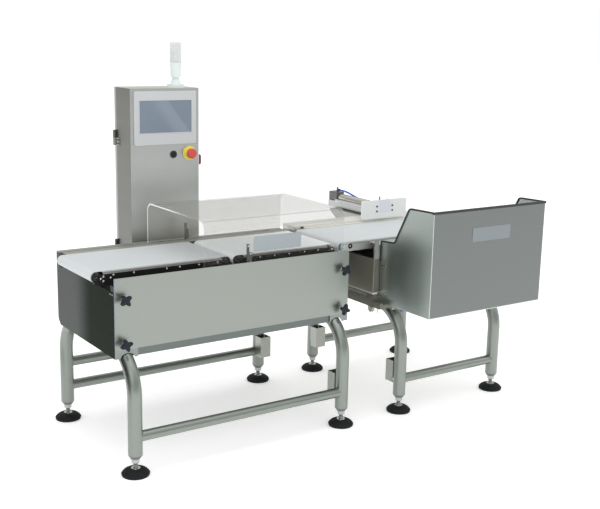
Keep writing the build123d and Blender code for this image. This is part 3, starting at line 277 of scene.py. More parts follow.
def put_copies(mesh, blank, places):
    """A copy of a small shape at each place. The shape itself is used up."""
    shape = bpy.data.meshes.new("shape")
    for place in places:
        copy = blank.copy()
        bmesh.ops.transform(copy, matrix=place, verts=copy.verts)
        copy.to_mesh(shape)
        copy.free()
        mesh.from_mesh(shape)
    bpy.data.meshes.remove(shape)
    blank.free()


def spin_round(mesh, axis, steps):
    """Turns everything in the mesh once round an axis through the origin."""
    bmesh.ops.spin(
        mesh, geom=mesh.verts[:] + mesh.edges[:], cent=(0, 0, 0), axis=axis,
        angle=2 * pi, steps=steps, use_merge=True,
    )


def round_edges(mesh, edges, width, steps):
    """Rounds edges over a width, in that many steps."""
    bmesh.ops.bevel(
        mesh, geom=edges, offset=width, offset_type="OFFSET", segments=steps, profile=0.5,
        affect="EDGES", material=-1,
    )


def add_turned(mesh, outline, places, steps=20):
    """A shape turned round the Z axis of each place, from an outline of (radius, height) points."""
    blank = bmesh.new()
    points = [blank.verts.new((radius, 0, height)) for radius, height in outline]
    for pair in zip(points, points[1:]):
        blank.edges.new(pair)
    spin_round(blank, (0, 0, 1), steps)
    bmesh.ops.remove_doubles(blank, verts=blank.verts[:], dist=1e-6)
    put_copies(mesh, blank, places)


def add_block(mesh, low, high, edge=0.0, along=None, steps=2):
    """A block between two corners, with all its edges rounded, or those along one axis, or none."""
    low, high = Vector(low), Vector(high)
    size = Matrix.Diagonal((*(high - low), 1))
    made = bmesh.ops.create_cube(mesh, size=1, matrix=Matrix.Translation((low + high) / 2) @ size)
    edges = {each for vert in made["verts"] for each in vert.link_edges}
    if along is not None:
        edges = {each for each in edges if abs((each.verts[0].co - each.verts[1].co)[along]) > 1e-6}
    if edge:
        round_edges(mesh, list(edges), edge, steps)


def add_piece(name, mesh, body, material, angle=38):
    """Ends a mesh as a piece that rides on a body."""
    bmesh.ops.recalc_face_normals(mesh, faces=mesh.faces[:])
    data = bpy.data.meshes.new(name)
    mesh.to_mesh(data)
    mesh.free()
    data.materials.append(material)
    for face in data.polygons:
        face.use_smooth = True
    data.set_sharp_from_angle(angle=radians(angle))
    piece = bpy.data.objects.new(name, data)
    scene.collection.objects.link(piece)
    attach(piece, body)
    return piece


tube_steel = brushed("satin_tube", (0.295, 0.32, 0.295), 0.36, (60, 60, 60), 0.06, 0.00002)
dress(tube_steel, "stand_hoops", "stand_rails")
line_y = 0.0035
leg_y = 0.310
tube_r = 0.0254
rail_r = 0.019
leg_xs = (-0.837, 0.05, 0.346, 0.871)
weld_steel = brushed("weld_steel", (0.30, 0.31, 0.29), 0.42, (900, 900, 900), 0.2, 0.0002)
bead_r = 0.0022
bead_sunk = 0.0004
low_rail, high_rail = 0.138, 0.234
welds = bmesh.new()
for first, last, side, height in (
    (0, 1, -1, low_rail), (0, 1, 1, low_rail), (0, 1, 1, high_rail), (2, 3, -1, low_rail), (2, 3, 1, low_rail),
):
    for leg, inward in ((leg_xs[first], 1), (leg_xs[last], -1)):
        ring = bmesh.new()
        bmesh.ops.create_circle(ring, segments=8, radius=bead_r, matrix=Matrix.Translation((0, rail_r, 0)))
        spin_round(ring, (1, 0, 0), 32)
        for vert in ring.verts:
            vert.co.x = inward * (vert.co.x + (tube_r ** 2 - vert.co.y ** 2) ** 0.5 - bead_sunk)
        put_copies(welds, ring, [Matrix.Translation((leg, line_y + side * leg_y, height))])
add_piece("rail_welds", welds, "machine", weld_steel)


# The levelling feet. Black rubber pads moulded round a steel disc, each on a threaded stem that screws into
# a tapered plug in the tube's end. A bright washer lies on each pad.
def grained(name, dark, light, roughness, grain, detail=2, vary=0.0, depth=0.0, extra=None):
    """A finish whose colour, gloss and surface all follow one grain."""
    material, place = start_finish(name)
    skin = place.noise(grain, detail)
    values = {"Base Color": skin.mix(dark, light), "Roughness": roughness + skin * vary if vary else roughness}
    if depth:
        values["Normal"] = skin.bump(depth)
    return set_finish(material, {**values, **(extra or {})})


foot_rubber = grained(
    "moulded_rubber", (0.008, 0.010, 0.010), (0.016, 0.019, 0.019), 0.5, (900, 900, 900), 3,
    vary=0.2, depth=0.0002, extra={"Specular IOR Level": 0.15},
)
dress(foot_rubber, "foot_pads")
bright_steel = brushed("turned_steel", (0.6, 0.61, 0.6), 0.2, (300, 300, 300), 0.08, 0.00003)
threaded, thread_place = start_finish("threaded_steel")
up = thread_place.axis(2)
on_nut = up.band(0.0465, 0.047) * up.fade(0.061, 0.0615)
thread_pitch = 0.002
thread_height = up.math("SINE", up * (2 * pi / thread_pitch)) * (1 - on_nut)
# Painted shade and highlight: the thread is painted darker in its grooves and lighter on its crests.
set_finish(threaded, {
    "Base Color": thread_height.band(-1.0, 1.0).mix((0.3, 0.31, 0.3), (0.62, 0.63, 0.62)),
    "Metallic": 1.0,
    "Roughness": 0.26,
    "Normal": thread_height.bump(0.0004),
})
dress(threaded, "foot_stems")
plug_grey = grained("plug_grey", (0.17, 0.18, 0.175), (0.23, 0.24, 0.235), 0.45, (500, 500, 500), depth=0.0001)
dress(plug_grey, "leg_end_plugs")
feet = [(leg_x, line_y + side * leg_y) for leg_x in leg_xs for side in (-1, 1)]
pad_top = 0.0252
washers = bmesh.new()
add_turned(washers, [
    (0.0086, 0.0), (0.016, 0.0), (0.0165, 0.0006), (0.016, 0.0018), (0.0086, 0.0018), (0.0086, 0.0),
], [Matrix.Translation((x, y, pad_top)) for x, y in feet], 28)
add_piece("pad_washers", washers, "machine", bright_steel)


# The infeed housing. A welded base frame of folded sheet, a front panel held by four star knobs, a rear panel and two
# end plates, all with a horizontal brushed grain. Small pan-head screws hold the end plates and the rear panels of
# both housings. The parts share a grade of sheet, but each one's colour is painted lighter or darker for the light,
# shade and reflections on its own side.
long_grain = (5, 700, 700)
panel_steel = brushed("panel_steel", (0.40, 0.42, 0.385), 0.38, long_grain, 0.05)
dress(panel_steel, "link_brackets")
# Painted light: above z 0.692, on the flange tops, this finish is painted darker left of x 0.12, as shade, and near
# white right of it, a painted reflection of the bright ceiling. The gap strips and the cabinet hinges share this
# finish.
rear_steel = brushed(
    "rear_panel_steel", (0.40, 0.42, 0.385), 0.38, long_grain, 0.05,
    tint=lambda x, y, z: (
        (z.band(0.6918, 0.6922), (0.33, 0.325, 0.30)),
        (z.band(0.6918, 0.6922) * x.band(0.12, 0.13), (0.84, 0.82, 0.765)),
    ),
    metal=0.35,
)
dress(rear_steel, "rear_panels")
# Painted light: the panel's left folded edge is painted bluish, a painted reflection, and the panel below z 0.441 is
# painted darker, as shade.
front_steel = brushed(
    "front_panel_steel", (0.335, 0.36, 0.33), 0.38, long_grain, 0.04,
    tint=lambda x, y, z: (
        (x.fade(-0.8815, -0.8795), (0.30, 0.34, 0.36)),
        (z.fade(0.438, 0.444), (0.29, 0.315, 0.305)),
    ),
)
dress(front_steel, "front_panel")
# Painted shade: the base frame is painted darker below z 0.477, and near black above z 0.60, inside the housing.
sill_steel = brushed(
    "sill_steel", (0.42, 0.43, 0.40), 0.40, long_grain, 0.08,
    tint=lambda x, y, z: (
        (z.fade(0.476, 0.479), (0.17, 0.195, 0.185)),
        (z.band(0.60, 0.612), (0.035, 0.035, 0.04)),
    ),
    metal=0.85,
)
dress(sill_steel, "base_frame")
# Painted reflection and light: the end plates are painted near black towards the front, for the dark room they mirror
# there, and those right of x 0.15 a lighter, warmer grey, for the light on them.
end_steel = brushed(
    "end_plate_steel", (0.145, 0.155, 0.15), 0.40, (700, 5, 700), 0.05,
    tint=lambda x, y, z: (
        (y.fade(-0.06, 0.10), (0.024, 0.032, 0.024)),
        (x.band(0.15, 0.2), (0.47, 0.45, 0.38)),
    ),
    metal=0.85, edge=0.45,
)
dress(end_steel, "end_plates")
rear_face = 0.2645
small_screw = [(0.0, 0.0016), (0.0014, 0.0016), (0.0022, 0.0022), (0.0034, 0.0012), (0.0036, 0.0), (0.0, 0.0)]
end_screws = bmesh.new()
add_turned(end_screws, small_screw, [
    facing((-0.884, y, z), to_left)
    for y, z in ((-0.243, 0.636), (-0.226, 0.636))
] + [
    facing((0.103, y, z), to_right) for y in (-0.24, 0.0, 0.248) for z in (0.634, 0.44)
], 14)
add_turned(end_screws, small_screw, [
    facing((x, rear_face, z), to_back) for x in (-0.86, -0.64, -0.20, -0.03, 0.09) for z in (0.46, 0.67)
] + [
    facing((x, rear_face, z), to_back) for x in (0.16, 0.34, 0.52, 0.71, 0.89) for z in (0.525, 0.69)
], 14)
add_piece("plate_screws", end_screws, "machine", bright_steel)


# The star knobs. Glass-filled black plastic with four rounded lobes, moulded on a steel stud. Each one stopped
# at its own turn when it was done up. A washer lies under its hub. The rounded heads here stand in for the
# plain ones of the solids.
knob_plastic = grained(
    "knob_plastic", (0.008, 0.010, 0.018), (0.014, 0.017, 0.028), 0.45, (1500, 1500, 1500),
    vary=0.15, depth=0.0001, extra={"Specular IOR Level": 0.3},
)
panel_face = -0.2575
knob_bottom, knob_height = 0.020, 0.013
core_r, lobe_length = 0.0126, 0.0103
knob_places = {
    1: (-0.8525, 0.621, 0.62), 2: (0.0715, 0.621, 0.95), 3: (-0.8525, 0.464, 0.30), 4: (0.0715, 0.464, 1.25),
}
for number, (knob_x, knob_z, turn) in knob_places.items():
    seat = (knob_x, panel_face, knob_z)
    knob = bmesh.new()
    head = bmesh.new()
    bmesh.ops.create_circle(head, cap_ends=True, segments=64, radius=1.0)
    for vert in head.verts:
        lobe = (1 + cos(4 * atan2(vert.co.y, vert.co.x))) / 2
        vert.co *= core_r + lobe_length * lobe ** 1.15
        vert.co.z = knob_bottom
    raised = bmesh.ops.extrude_face_region(head, geom=head.faces[:])
    top = [each for each in raised["geom"] if isinstance(each, bmesh.types.BMVert)]
    bmesh.ops.translate(head, vec=(0, 0, knob_height), verts=top)
    rim = [each for each in head.edges if abs(each.verts[0].co.z - each.verts[1].co.z) < 1e-6]
    round_edges(head, rim, 0.0026, 4)
    put_copies(knob, head, [Matrix.Identity(4)])
    for outline in (
        [(0.0, 0.0325), (0.0052, 0.0325), (0.0056, 0.0333), (0.0072, 0.0333), (0.0078, 0.0326), (0.0078, 0.0318),
         (0.0, 0.0318)],
        [(0.0, 0.013), (0.0072, 0.013), (0.008, 0.0145), (0.008, 0.0206), (0.0, 0.0206)],
    ):
        add_turned(knob, outline, [Matrix.Identity(4)], 24)
    bmesh.ops.transform(knob, matrix=facing(seat, to_front, turn), verts=knob.verts)
    piece = add_piece(f"knob_head_{number}", knob, f"star_knob_{number}", knob_plastic, 50)
    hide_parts(f"star_knob_{number}")
    stud = bmesh.new()
    add_turned(stud, [
        (0.0, 0.0135), (0.004, 0.0135), (0.004, -0.0155), (0.0034, -0.0168), (0.0, -0.0168),
    ], [facing(seat, to_front)], 20)
    add_turned(stud, [
        (0.0041, 0.0), (0.0085, 0.0), (0.0085, 0.0014), (0.0041, 0.0014), (0.0041, 0.0),
    ], [facing(seat, to_front)], 24)
    add_piece(f"knob_stud_{number}", stud, f"star_knob_{number}", bright_steel)


# The belts. White coated fabric, endless, with a fine matt texture on the carrying side. A skived splice crosses each
# belt at a slant and shows as a hair line. The weighing belt is painted lighter than the others, to make up for the
# shade of the cover over it.
for belt_name, dark_cloth, light_cloth, belt_nodes in (
    ("belt_white", (0.57, 0.60, 0.615), (0.62, 0.65, 0.66), ("infeed_belt", "reject_belt")),
    ("belt_painted_lighter", (0.83, 0.865, 0.855), (0.88, 0.915, 0.905), ("weigh_belt",)),
):
    belt_cloth, belt_place = start_finish(belt_name)
    weave = belt_place.noise((1200, 1200, 1200), 2)
    cloud = belt_place.noise((7, 7, 7), 3)
    slant = belt_place.axis(0) + belt_place.axis(1) * 0.35
    splice = slant.math("COMPARE", slant, -0.20, 0.0006) + slant.math("COMPARE", slant, 0.42, 0.0006)
    set_finish(belt_cloth, {
        "Base Color": splice.mix(cloud.mix(dark_cloth, light_cloth), (0.46, 0.49, 0.5)),
        "Roughness": 0.5 + weave * 0.15,
        "Normal": (weave - splice * 0.6).bump(0.00008),
    })
    dress(belt_cloth, *belt_nodes)


# The conveyors' side plates: black anodised on the infeed and weighing conveyors, plain stainless on the last.
# Dome-head screws fix them to the bed, and a cluster of tension screws sits at the infeed's tail. Thin strips
# close the gaps behind them, up to the housings' flanges.
black_anodised = grained(
    "black_anodised", (0.014, 0.014, 0.015), (0.03, 0.03, 0.032), 0.36, (60, 900, 900), 3,
    vary=0.12, depth=0.00005, extra={"Metallic": 0.5},
)
dress(black_anodised, "infeed_side_plates", "weigh_side_plates")
# Painted light: the stainless plates are painted bluish at their left end, a painted reflection, with a thin dark
# line painted at z 0.693, a painted shadow line.
nose_steel = brushed(
    "nose_steel", (0.60, 0.625, 0.595), 0.34, long_grain, 0.06,
    tint=lambda x, y, z: (
        (x.fade(0.13, 0.16), (0.38, 0.46, 0.51)),
        (z.band(0.6925, 0.693) * z.fade(0.694, 0.6945), (0.20, 0.20, 0.19)),
    ),
    metal=0.45,
)
dress(nose_steel, "reject_side_plates")
bed_steel = brushed("bed_steel", (0.46, 0.46, 0.44), 0.40, long_grain, 0.06, metal=0.5)
dress(bed_steel, "slider_beds")
dress(bright_steel, "infeed_drive_roller", "weigh_drive_roller", "reject_drive_roller",
      "infeed_tail_roller", "weigh_tail_roller", "reject_tail_roller")
plate_front = line_y - 0.164
plate_back = line_y + 0.164
dome = [
    (0.0, 0.0014), (0.0016, 0.0014), (0.0018, 0.0027), (0.0032, 0.0022), (0.0042, 0.001), (0.0045, 0.0), (0.0, 0.0),
]
screw_z = 0.683
infeed_screws = (-0.765, -0.637, -0.5855, -0.507, -0.429)
weigh_screws = (-0.246, -0.180, -0.113, -0.041, 0.023)
reject_screws = (0.282, 0.44, 0.60, 0.76, 0.86)
plate_screws = bmesh.new()
add_turned(plate_screws, dome, [
    facing((x, plate_front, screw_z), to_front) for x in infeed_screws + weigh_screws + reject_screws
] + [
    facing((x, plate_back, screw_z), to_back)
    for x in infeed_screws[:-1] + weigh_screws[:-1] + reject_screws[:-1]
], 16)
add_turned(plate_screws, dome, [
    facing((x, y, z), to_front if y < 0 else to_back)
    for y in (plate_front, plate_back)
    for x, z in ((-0.879, 0.6815), (-0.8795, 0.666), (-0.842, 0.684), (-0.8525, 0.675), (-0.889, 0.675))
], 14)
add_piece("side_plate_screws", plate_screws, "machine", bright_steel)
bearing_caps = bmesh.new()
cap = [(0.0065, 0.0), (0.0112, 0.0), (0.0112, 0.0008), (0.0098, 0.0016), (0.0065, 0.0016), (0.0065, 0.0)]
axle_xs, axle_z = (-0.9032, -0.3878, -0.3402, 0.0902, 0.9032), 0.6802
add_turned(bearing_caps, cap, [
    facing((x, y, axle_z), to_front if y < 0 else to_back) for y in (plate_front, plate_back) for x in axle_xs
], 28)
add_piece("bearing_caps", bearing_caps, "machine", black_anodised)
take_up_seat = facing((0.181, plate_front, 0.684), to_front)
take_up = bmesh.new()
add_turned(take_up, [
    (0.0042, 0.0), (0.0105, 0.0), (0.0105, 0.0012), (0.0094, 0.0018), (0.0042, 0.0018), (0.0042, 0.0),
], [take_up_seat], 28)
add_piece("take_up_ring", take_up, "machine", black_anodised)
take_up_bolt = bmesh.new()
add_turned(take_up_bolt, dome, [take_up_seat], 16)
add_piece("take_up_bolt", take_up_bolt, "machine", bright_steel)
fillers = bmesh.new()
for low, high in (
    ((-0.884, 0.1605, 0.6972), (0.103, 0.2075, 0.6988)),
    ((0.183, 0.1573, 0.7002), (0.913, 0.1743, 0.7018)),
    ((0.1402, 0.1747, 0.6975), (0.913, 0.1760, 0.7088)),
    ((0.1385, 0.1760, 0.6400), (0.1400, 0.2640, 0.7088)),
):
    add_block(fillers, low, high, 0.0006)
add_piece("gap_strips", fillers, "machine", rear_steel)


# The drives and the load cell. A gearmotor hangs under each conveyor and turns its drive roller through a
# toothed belt. The gearbox has four screws at each end, and cooling ribs run round the motor. Four more screws
# hold the load cell.
milled = grained(
    "milled_aluminium", (0.5, 0.51, 0.52), (0.6, 0.61, 0.62), 0.3, (400, 60, 400), 3,
    vary=0.15, depth=0.00008, extra={"Metallic": 1.0},
)
dress(milled, "infeed_motor_pulley", "weigh_motor_pulley", "reject_motor_pulley", "load_cell", "weigh_platform")
dark_paint = grained(
    "dark_paint", (0.03, 0.032, 0.034), (0.045, 0.048, 0.05), 0.4, (250, 250, 250), depth=0.0003,
)
dress(dark_paint, "drive_motors")
toothed = grained(
    "toothed_rubber", (0.012, 0.012, 0.013), (0.026, 0.026, 0.028), 0.55, (900, 300, 900), depth=0.0003,
)
dress(toothed, "timing_belts")
motor_places = ((-0.4478, 0.5942), (0.0302, 0.5942), (0.8432, 0.5942))
motor_cap = [(0.0, 0.0), (0.0272, 0.0), (0.029, 0.0018), (0.029, 0.0042), (0.028, 0.0042), (0.0, 0.0042)]
cooling_rib = [
    (0.0281, 0.0), (0.0292, 0.0008), (0.0292, 0.0022), (0.0281, 0.003), (0.0275, 0.003), (0.0275, 0.0), (0.0281, 0.0),
]
motor_rings = bmesh.new()
for x, z in motor_places:
    add_turned(motor_rings, motor_cap, [facing((x, 0.060, z), to_front)], 36)
    add_turned(motor_rings, cooling_rib, [
        facing((x, y, z), to_back) for y in (0.072, 0.082, 0.092, 0.102, 0.112, 0.122)
    ], 36)
add_piece("motor_ribs", motor_rings, "machine", dark_paint)
corner = 0.0245
screw_places = [
    (x + dx, z + dz) for x, z in motor_places for dx in (-corner, corner) for dz in (-corner, corner)
]
motor_screws = bmesh.new()
for y, way in ((0.1345, to_front), (plate_back, to_back)):
    add_turned(motor_screws, dome, [facing((x, y, z), way) for x, z in screw_places], 14)
add_piece("motor_screws", motor_screws, "machine", bright_steel)
cell_screws = bmesh.new()
add_turned(cell_screws, dome, [
    facing((x, y, 0.522), to_top) for x in (-0.239, -0.222) for y in (-0.0065, 0.0135)
], 14)
add_piece("load_cell_screws", cell_screws, "machine", bright_steel)


# The cover over the weighing belt. One sheet of clear acrylic, 5 mm thick, bent twice on a hot wire. Its sawn ends
# are frosted and painted bright as highlights, and each face is painted its own tint and opacity for the reflections
# on it. The bare plate on it carries nothing.
def acrylic(name, dark, light, roughness, alpha):
    """Clear sheet. alpha gives how solid it looks, from the place's axes and a faint haze."""
    material, place = start_finish(name)
    haze = place.noise((3, 3, 3), 1)
    return set_finish(material, {
        "Base Color": haze.mix(dark, light),
        "Roughness": roughness,
        "Alpha": alpha(*place.axes(), haze),
        "IOR": 1.49,
    })


# Painted reflection: the front wall is near clear, with a more solid band painted above z 0.81; the top, the back and
# the fold are more solid, with a thin line painted along the fold; the frosted ends are more solid towards the back
# and at the left end.
cover_finishes = [
    acrylic("clear_front", (0.34, 0.335, 0.31), (0.40, 0.395, 0.365), 0.06, lambda x, y, z, haze: (
        0.02 + haze * 0.02 + z.band(0.803, 0.812) * 0.26
    )),
    acrylic("frosted_edge", (0.90, 0.93, 0.93), (0.95, 0.97, 0.97), 0.5, lambda x, y, z, haze: (
        (0.12 + y.band(-0.13, 0.06) * 0.82) * (1 - x.band(-0.5, -0.4) * 0.85)
    )),
    acrylic("clear_top", (0.32, 0.315, 0.285), (0.37, 0.365, 0.335), 0.10, lambda x, y, z, haze: (
        0.32 + haze * 0.04
    )),
    acrylic("clear_back", (0.48, 0.465, 0.42), (0.53, 0.515, 0.47), 0.10, lambda x, y, z, haze: (
        0.15 + haze * 0.04
    )),
    acrylic("clear_fold", (0.30, 0.295, 0.275), (0.36, 0.355, 0.335), 0.10, lambda x, y, z, haze: (
        0.26 + haze * 0.04 + z.band(0.849, 0.850) * z.fade(0.852, 0.853) * 0.22
    )),
]
on_sawn_end, on_top, on_back, on_fold = 1, 2, 3, 4
dress(cover_finishes[0], "draft_cover")
cover_sheet = nodes["draft_cover"].data
for finish in cover_finishes[1:]:
    cover_sheet.materials.append(finish)
for face in cover_sheet.polygons:
    if abs(face.normal.x) > 0.9:
        face.material_index = on_sawn_end
    elif abs(face.normal.z) > 0.97:
        face.material_index = on_top if face.center.z > 0.8 else on_sawn_end
    elif abs(face.normal.z) > 0.72 and face.center.y < 0:
        face.material_index = on_fold
    elif face.center.y > 0:
        face.material_index = on_back
label_blue, label_place = start_finish("bare_plate")
plate_grain = label_place.noise((300, 300, 300), 2)
on_bin = label_place.axis(0).band(0.1, 0.2)
# Painted shade: the plate on the bin, right of x 0.2, is painted darker than the one on the cover.
set_finish(label_blue, {
    "Base Color": on_bin.mix(plate_grain.mix((0.295, 0.335, 0.355), (0.34, 0.38, 0.40)), (0.215, 0.245, 0.26)),
    "Roughness": 0.4,
    "Normal": plate_grain.bump(0.00004),
})
cover_plate = bmesh.new()
add_block(cover_plate, (-0.322, -0.2387, 0.726), (-0.113, -0.2376, 0.783), 0.004, 1, 3)
add_piece("cover_bare_plate", cover_plate, "cover", label_blue)


# The photo eyes. Small sensors in grey housings on flat strips, each with a dark red lens. Small screws hold
# the front sensor to its strip, and the strip to the housing.
sensor_grey = grained(
    "sensor_grey", (0.045, 0.047, 0.047), (0.07, 0.073, 0.073), 0.45, (500, 500, 500), depth=0.0001,
)
dress(sensor_grey, "photo_eyes")
lens_red = grained(
    "lens_red", (0.05, 0.004, 0.004), (0.12, 0.01, 0.01), 0.08, (800, 800, 800), extra={"Coat Weight": 0.8},
)
eye_lenses = bmesh.new()
lens = [(0.0, 0.0009), (0.0022, 0.0008), (0.0032, 0.0), (0.0, 0.0)]
add_turned(eye_lenses, lens, [
    facing((-0.341, -0.2415, 0.715), to_back), facing((-0.351, 0.2225, 0.728), to_front),
    facing((0.1736, 0.1675, 0.704), to_front),
], 18)
add_piece("eye_lenses", eye_lenses, "machine", lens_red)
strip_front = -0.2475
eye_screws = bmesh.new()
add_turned(eye_screws, small_screw, [
    facing((x, strip_front, z), to_front)
    for x, z in ((-0.352, 0.51), (-0.352, 0.752), (-0.341, 0.693), (-0.341, 0.723))
], 12)
add_piece("eye_screws", eye_screws, "machine", bright_steel)


# The reject housing. A frame of welded bars and angles with a floor pan, on the second stand. Nuts on the
# hoops' bends clamp it down, a hanger is bolted under its side bar, and two capped stubs end under the bin.
# Painted light: the frame is painted dark brown below z 0.64, as shade, lighter grey above, and with a thin bright
# line at z 0.50, a painted highlight.
frame_steel = brushed(
    "frame_steel", (0.155, 0.147, 0.122), 0.42, (5, 5, 500), 0.08,
    tint=lambda x, y, z: (
        (z.band(0.636, 0.644), (0.34, 0.335, 0.32)),
        (z.band(0.4955, 0.4962) * z.fade(0.5016, 0.5022), (0.78, 0.76, 0.70)),
    ),
    metal=0.6,
)
dress(frame_steel, "reject_frame")
nut = bmesh.new()
bmesh.ops.create_cone(nut, cap_ends=True, segments=6, radius1=0.0075, radius2=0.0075, depth=0.006)
bmesh.ops.translate(nut, vec=(0, 0, 0.0045), verts=nut.verts)
round_edges(nut, nut.edges[:], 0.0007, 2)
bmesh.ops.create_cone(nut, cap_ends=True, segments=20, radius1=0.010, radius2=0.010, depth=0.0016,
                      matrix=Matrix.Translation((0, 0, 0.0008)))
clamp_places = [
    facing((leg_x + dx, line_y + side * 0.2582, 0.4272), (0, side * 0.56, 0.83))
    for leg_x in leg_xs[2:] for side in (-1, 1) for dx in (-0.009, 0.010)
]
hanger_x, bar_bottom = 0.2455, 0.424
hanger_bolt = Matrix.Translation((hanger_x, -0.229, bar_bottom)) @ Matrix.Rotation(pi, 4, "X")
clamp_nuts = bmesh.new()
put_copies(clamp_nuts, nut, clamp_places + [hanger_bolt])
add_turned(clamp_nuts, [(0.0, 0.0), (0.0034, 0.0), (0.0034, 0.019), (0.0, 0.019)],
           [Matrix.Translation((hanger_x, -0.271, bar_bottom))], 14)
add_piece("clamp_nuts", clamp_nuts, "machine", bright_steel)
hanger = bmesh.new()
add_block(hanger, (hanger_x - 0.006, -0.2445, bar_bottom), (hanger_x + 0.006, -0.2135, 0.4432), 0.0015)
add_piece("side_bar_hanger", hanger, "machine", panel_steel)
stub_blue = grained("stub_blue", (0.10, 0.08, 0.42), (0.14, 0.11, 0.5), 0.4, (700, 700, 700))
stub_yellow = grained("stub_yellow", (0.42, 0.36, 0.10), (0.52, 0.44, 0.14), 0.4, (700, 700, 700))
for name, material, stub_x in (("blue_stub", stub_blue, 0.400), ("yellow_stub", stub_yellow, 0.420)):
    stub = bmesh.new()
    add_turned(stub, [
        (0.0, 0.400), (0.0042, 0.400), (0.0052, 0.4012), (0.0052, 0.416), (0.004, 0.417), (0.004, 0.4575),
        (0.0, 0.4575),
    ], [Matrix.Translation((stub_x, -0.237, 0))], 20)
    add_piece(name, stub, "machine", material)


# The reject bin. One folded box of brushed sheet, held to the frame by flat hooks in its sides, with a rubber edge
# trim pressed over its rim. The fold lines and the cut lower edge are painted bright as highlights, its inside and
# left side are painted lighter as reflections, and the label plate is bare.
def bin_painted_light(x, y, z):
    """Painted reflections and shade: lighter behind the front face and on the left side, lightest high on the left
    side, with a painted darker patch low there. Painted highlights on the folds and the cut lower edge.
    """
    left_side = x.fade(0.2712, 0.2716)
    return (
        (y.band(-0.5488, -0.5482), (0.58, 0.60, 0.59)),
        (left_side, (0.62, 0.69, 0.665)),
        (left_side * z.band(0.70, 0.80), (0.86, 0.94, 0.91)),
        (
            left_side * y.band(-0.55, -0.47) * y.fade(-0.42, -0.31) * z.fade(0.66, 0.78),
            (0.42, 0.465, 0.445),
        ),
        (x.fade(0.2726, 0.2734) * y.fade(-0.5482, -0.5474), (0.85, 0.9, 0.88)),
        (z.fade(0.4615, 0.4630), (0.70, 0.74, 0.72)),
    )


bin_steel = brushed("bin_steel", (0.205, 0.222, 0.218), 0.38, (4, 500, 500), 0.06, tint=bin_painted_light)
dress(bin_steel, "reject_bin")
trim_rubber = grained(
    "trim_rubber", (0.014, 0.015, 0.016), (0.03, 0.032, 0.033), 0.5, (500, 500, 500), depth=0.0001,
)
dress(trim_rubber, "bin_edge_trim")
reach, rise = 0.013, 0.0028
bin_hooks = bmesh.new()
for low_x, high_x in ((0.2690, 0.2710), (0.868, 0.870)):
    for hook_y, hook_z in ((-0.2655, 0.612), (-0.271, 0.5015)):
        low = (low_x, hook_y - reach, hook_z - rise)
        add_block(bin_hooks, low, (high_x, hook_y + reach, hook_z + rise), 0.0009)
add_piece("bin_hooks", bin_hooks, "machine", bright_steel)
bin_plate = bmesh.new()
add_block(bin_plate, (0.473, -0.5507, 0.741), (0.675, -0.5495, 0.796), 0.004, 1, 3)
add_piece("bin_bare_plate", bin_plate, "machine", label_blue)


# The pusher. An air cylinder on an aluminium guide block throws a white plastic plate across the belt. Two
# pairs of dark screws hold the plate to the rods, tie bolts hold the cylinder's end block, and rubber seals
# wipe the rods.
white_plastic, white_place = start_finish("white_plastic")
sawn = white_place.noise((200, 200, 200), 3)
across = white_place.axis(0)
# Painted shade: high between the plate's bolts, the white is painted a cooler, darker grey.
between = across.band(0.576, 0.586) * across.fade(0.641, 0.651) * white_place.axis(2).band(0.732, 0.742)
set_finish(white_plastic, {
    "Base Color": between.mix(
        sawn.mix((0.75, 0.77, 0.76), (0.80, 0.82, 0.81)), sawn.mix((0.69, 0.71, 0.755), (0.73, 0.75, 0.80)),
    ),
    "Roughness": 0.45,
    "Normal": sawn.bump(0.0001),
})
dress(white_plastic, "pusher_plate")
dress(panel_steel, "pusher_bracket")
bar_alloy = grained(
    "drawn_aluminium", (0.46, 0.47, 0.47), (0.56, 0.57, 0.56), 0.3, (500, 12, 500), 3,
    vary=0.14, depth=0.00006, extra={"Metallic": 1.0},
)
dress(bar_alloy, "pusher_base")
cylinder_steel, cylinder_place = start_finish("cylinder_steel")
honed = cylinder_place.noise((500, 12, 500), 3)
in_block = cylinder_place.axis(1).band(0.4920, 0.4924)
set_finish(cylinder_steel, {
    "Base Color": in_block.mix(
        honed.mix((0.52, 0.50, 0.46), (0.60, 0.585, 0.55)), honed.mix((0.11, 0.11, 0.11), (0.15, 0.15, 0.145)),
    ),
    "Metallic": 1 - in_block * 0.6,
    "Roughness": 0.22 + honed * 0.1,
    "Normal": honed.bump(0.00004),
})
dress(cylinder_steel, "pusher_cylinder")
dress(bright_steel, "pusher_rods")
dark_steel = grained(
    "blackened_steel", (0.05, 0.05, 0.055), (0.09, 0.09, 0.095), 0.35, (600, 600, 600), extra={"Metallic": 0.8},
)
pusher_x = 0.613
pusher_face, block_front, block_top, barrel_end = 0.1585, 0.1765, 0.785, 0.5525
socket_head = [
    (0.0, 0.0014), (0.0018, 0.0014), (0.0019, 0.0032), (0.0036, 0.0032), (0.0040, 0.0026), (0.0040, 0.0), (0.0, 0.0),
]
plate_bolts = bmesh.new()
add_turned(plate_bolts, socket_head, [
    facing((x, pusher_face, z), to_front) for x in (0.569, 0.657) for z in (0.767, 0.745)
], 18)
add_piece("pusher_plate_bolts", plate_bolts, "pusher", dark_steel)
unit_bolts = bmesh.new()
add_turned(unit_bolts, socket_head, [
    facing((pusher_x + dx, barrel_end, z), to_back) for dx in (-0.015, 0.015) for z in (0.750, 0.776)
] + [
    facing((pusher_x + dx, y, block_top), to_top) for dx in (-0.054, 0.054) for y in (0.1855, 0.2075)
], 16)
add_piece("pusher_unit_bolts", unit_bolts, "machine", dark_steel)
rod_seals = bmesh.new()
add_turned(rod_seals, [
    (0.0083, 0.0), (0.0125, 0.0), (0.0125, 0.0012), (0.0105, 0.0024), (0.0083, 0.0024), (0.0083, 0.0),
], [facing((pusher_x, block_front, 0.760), to_front)], 28)
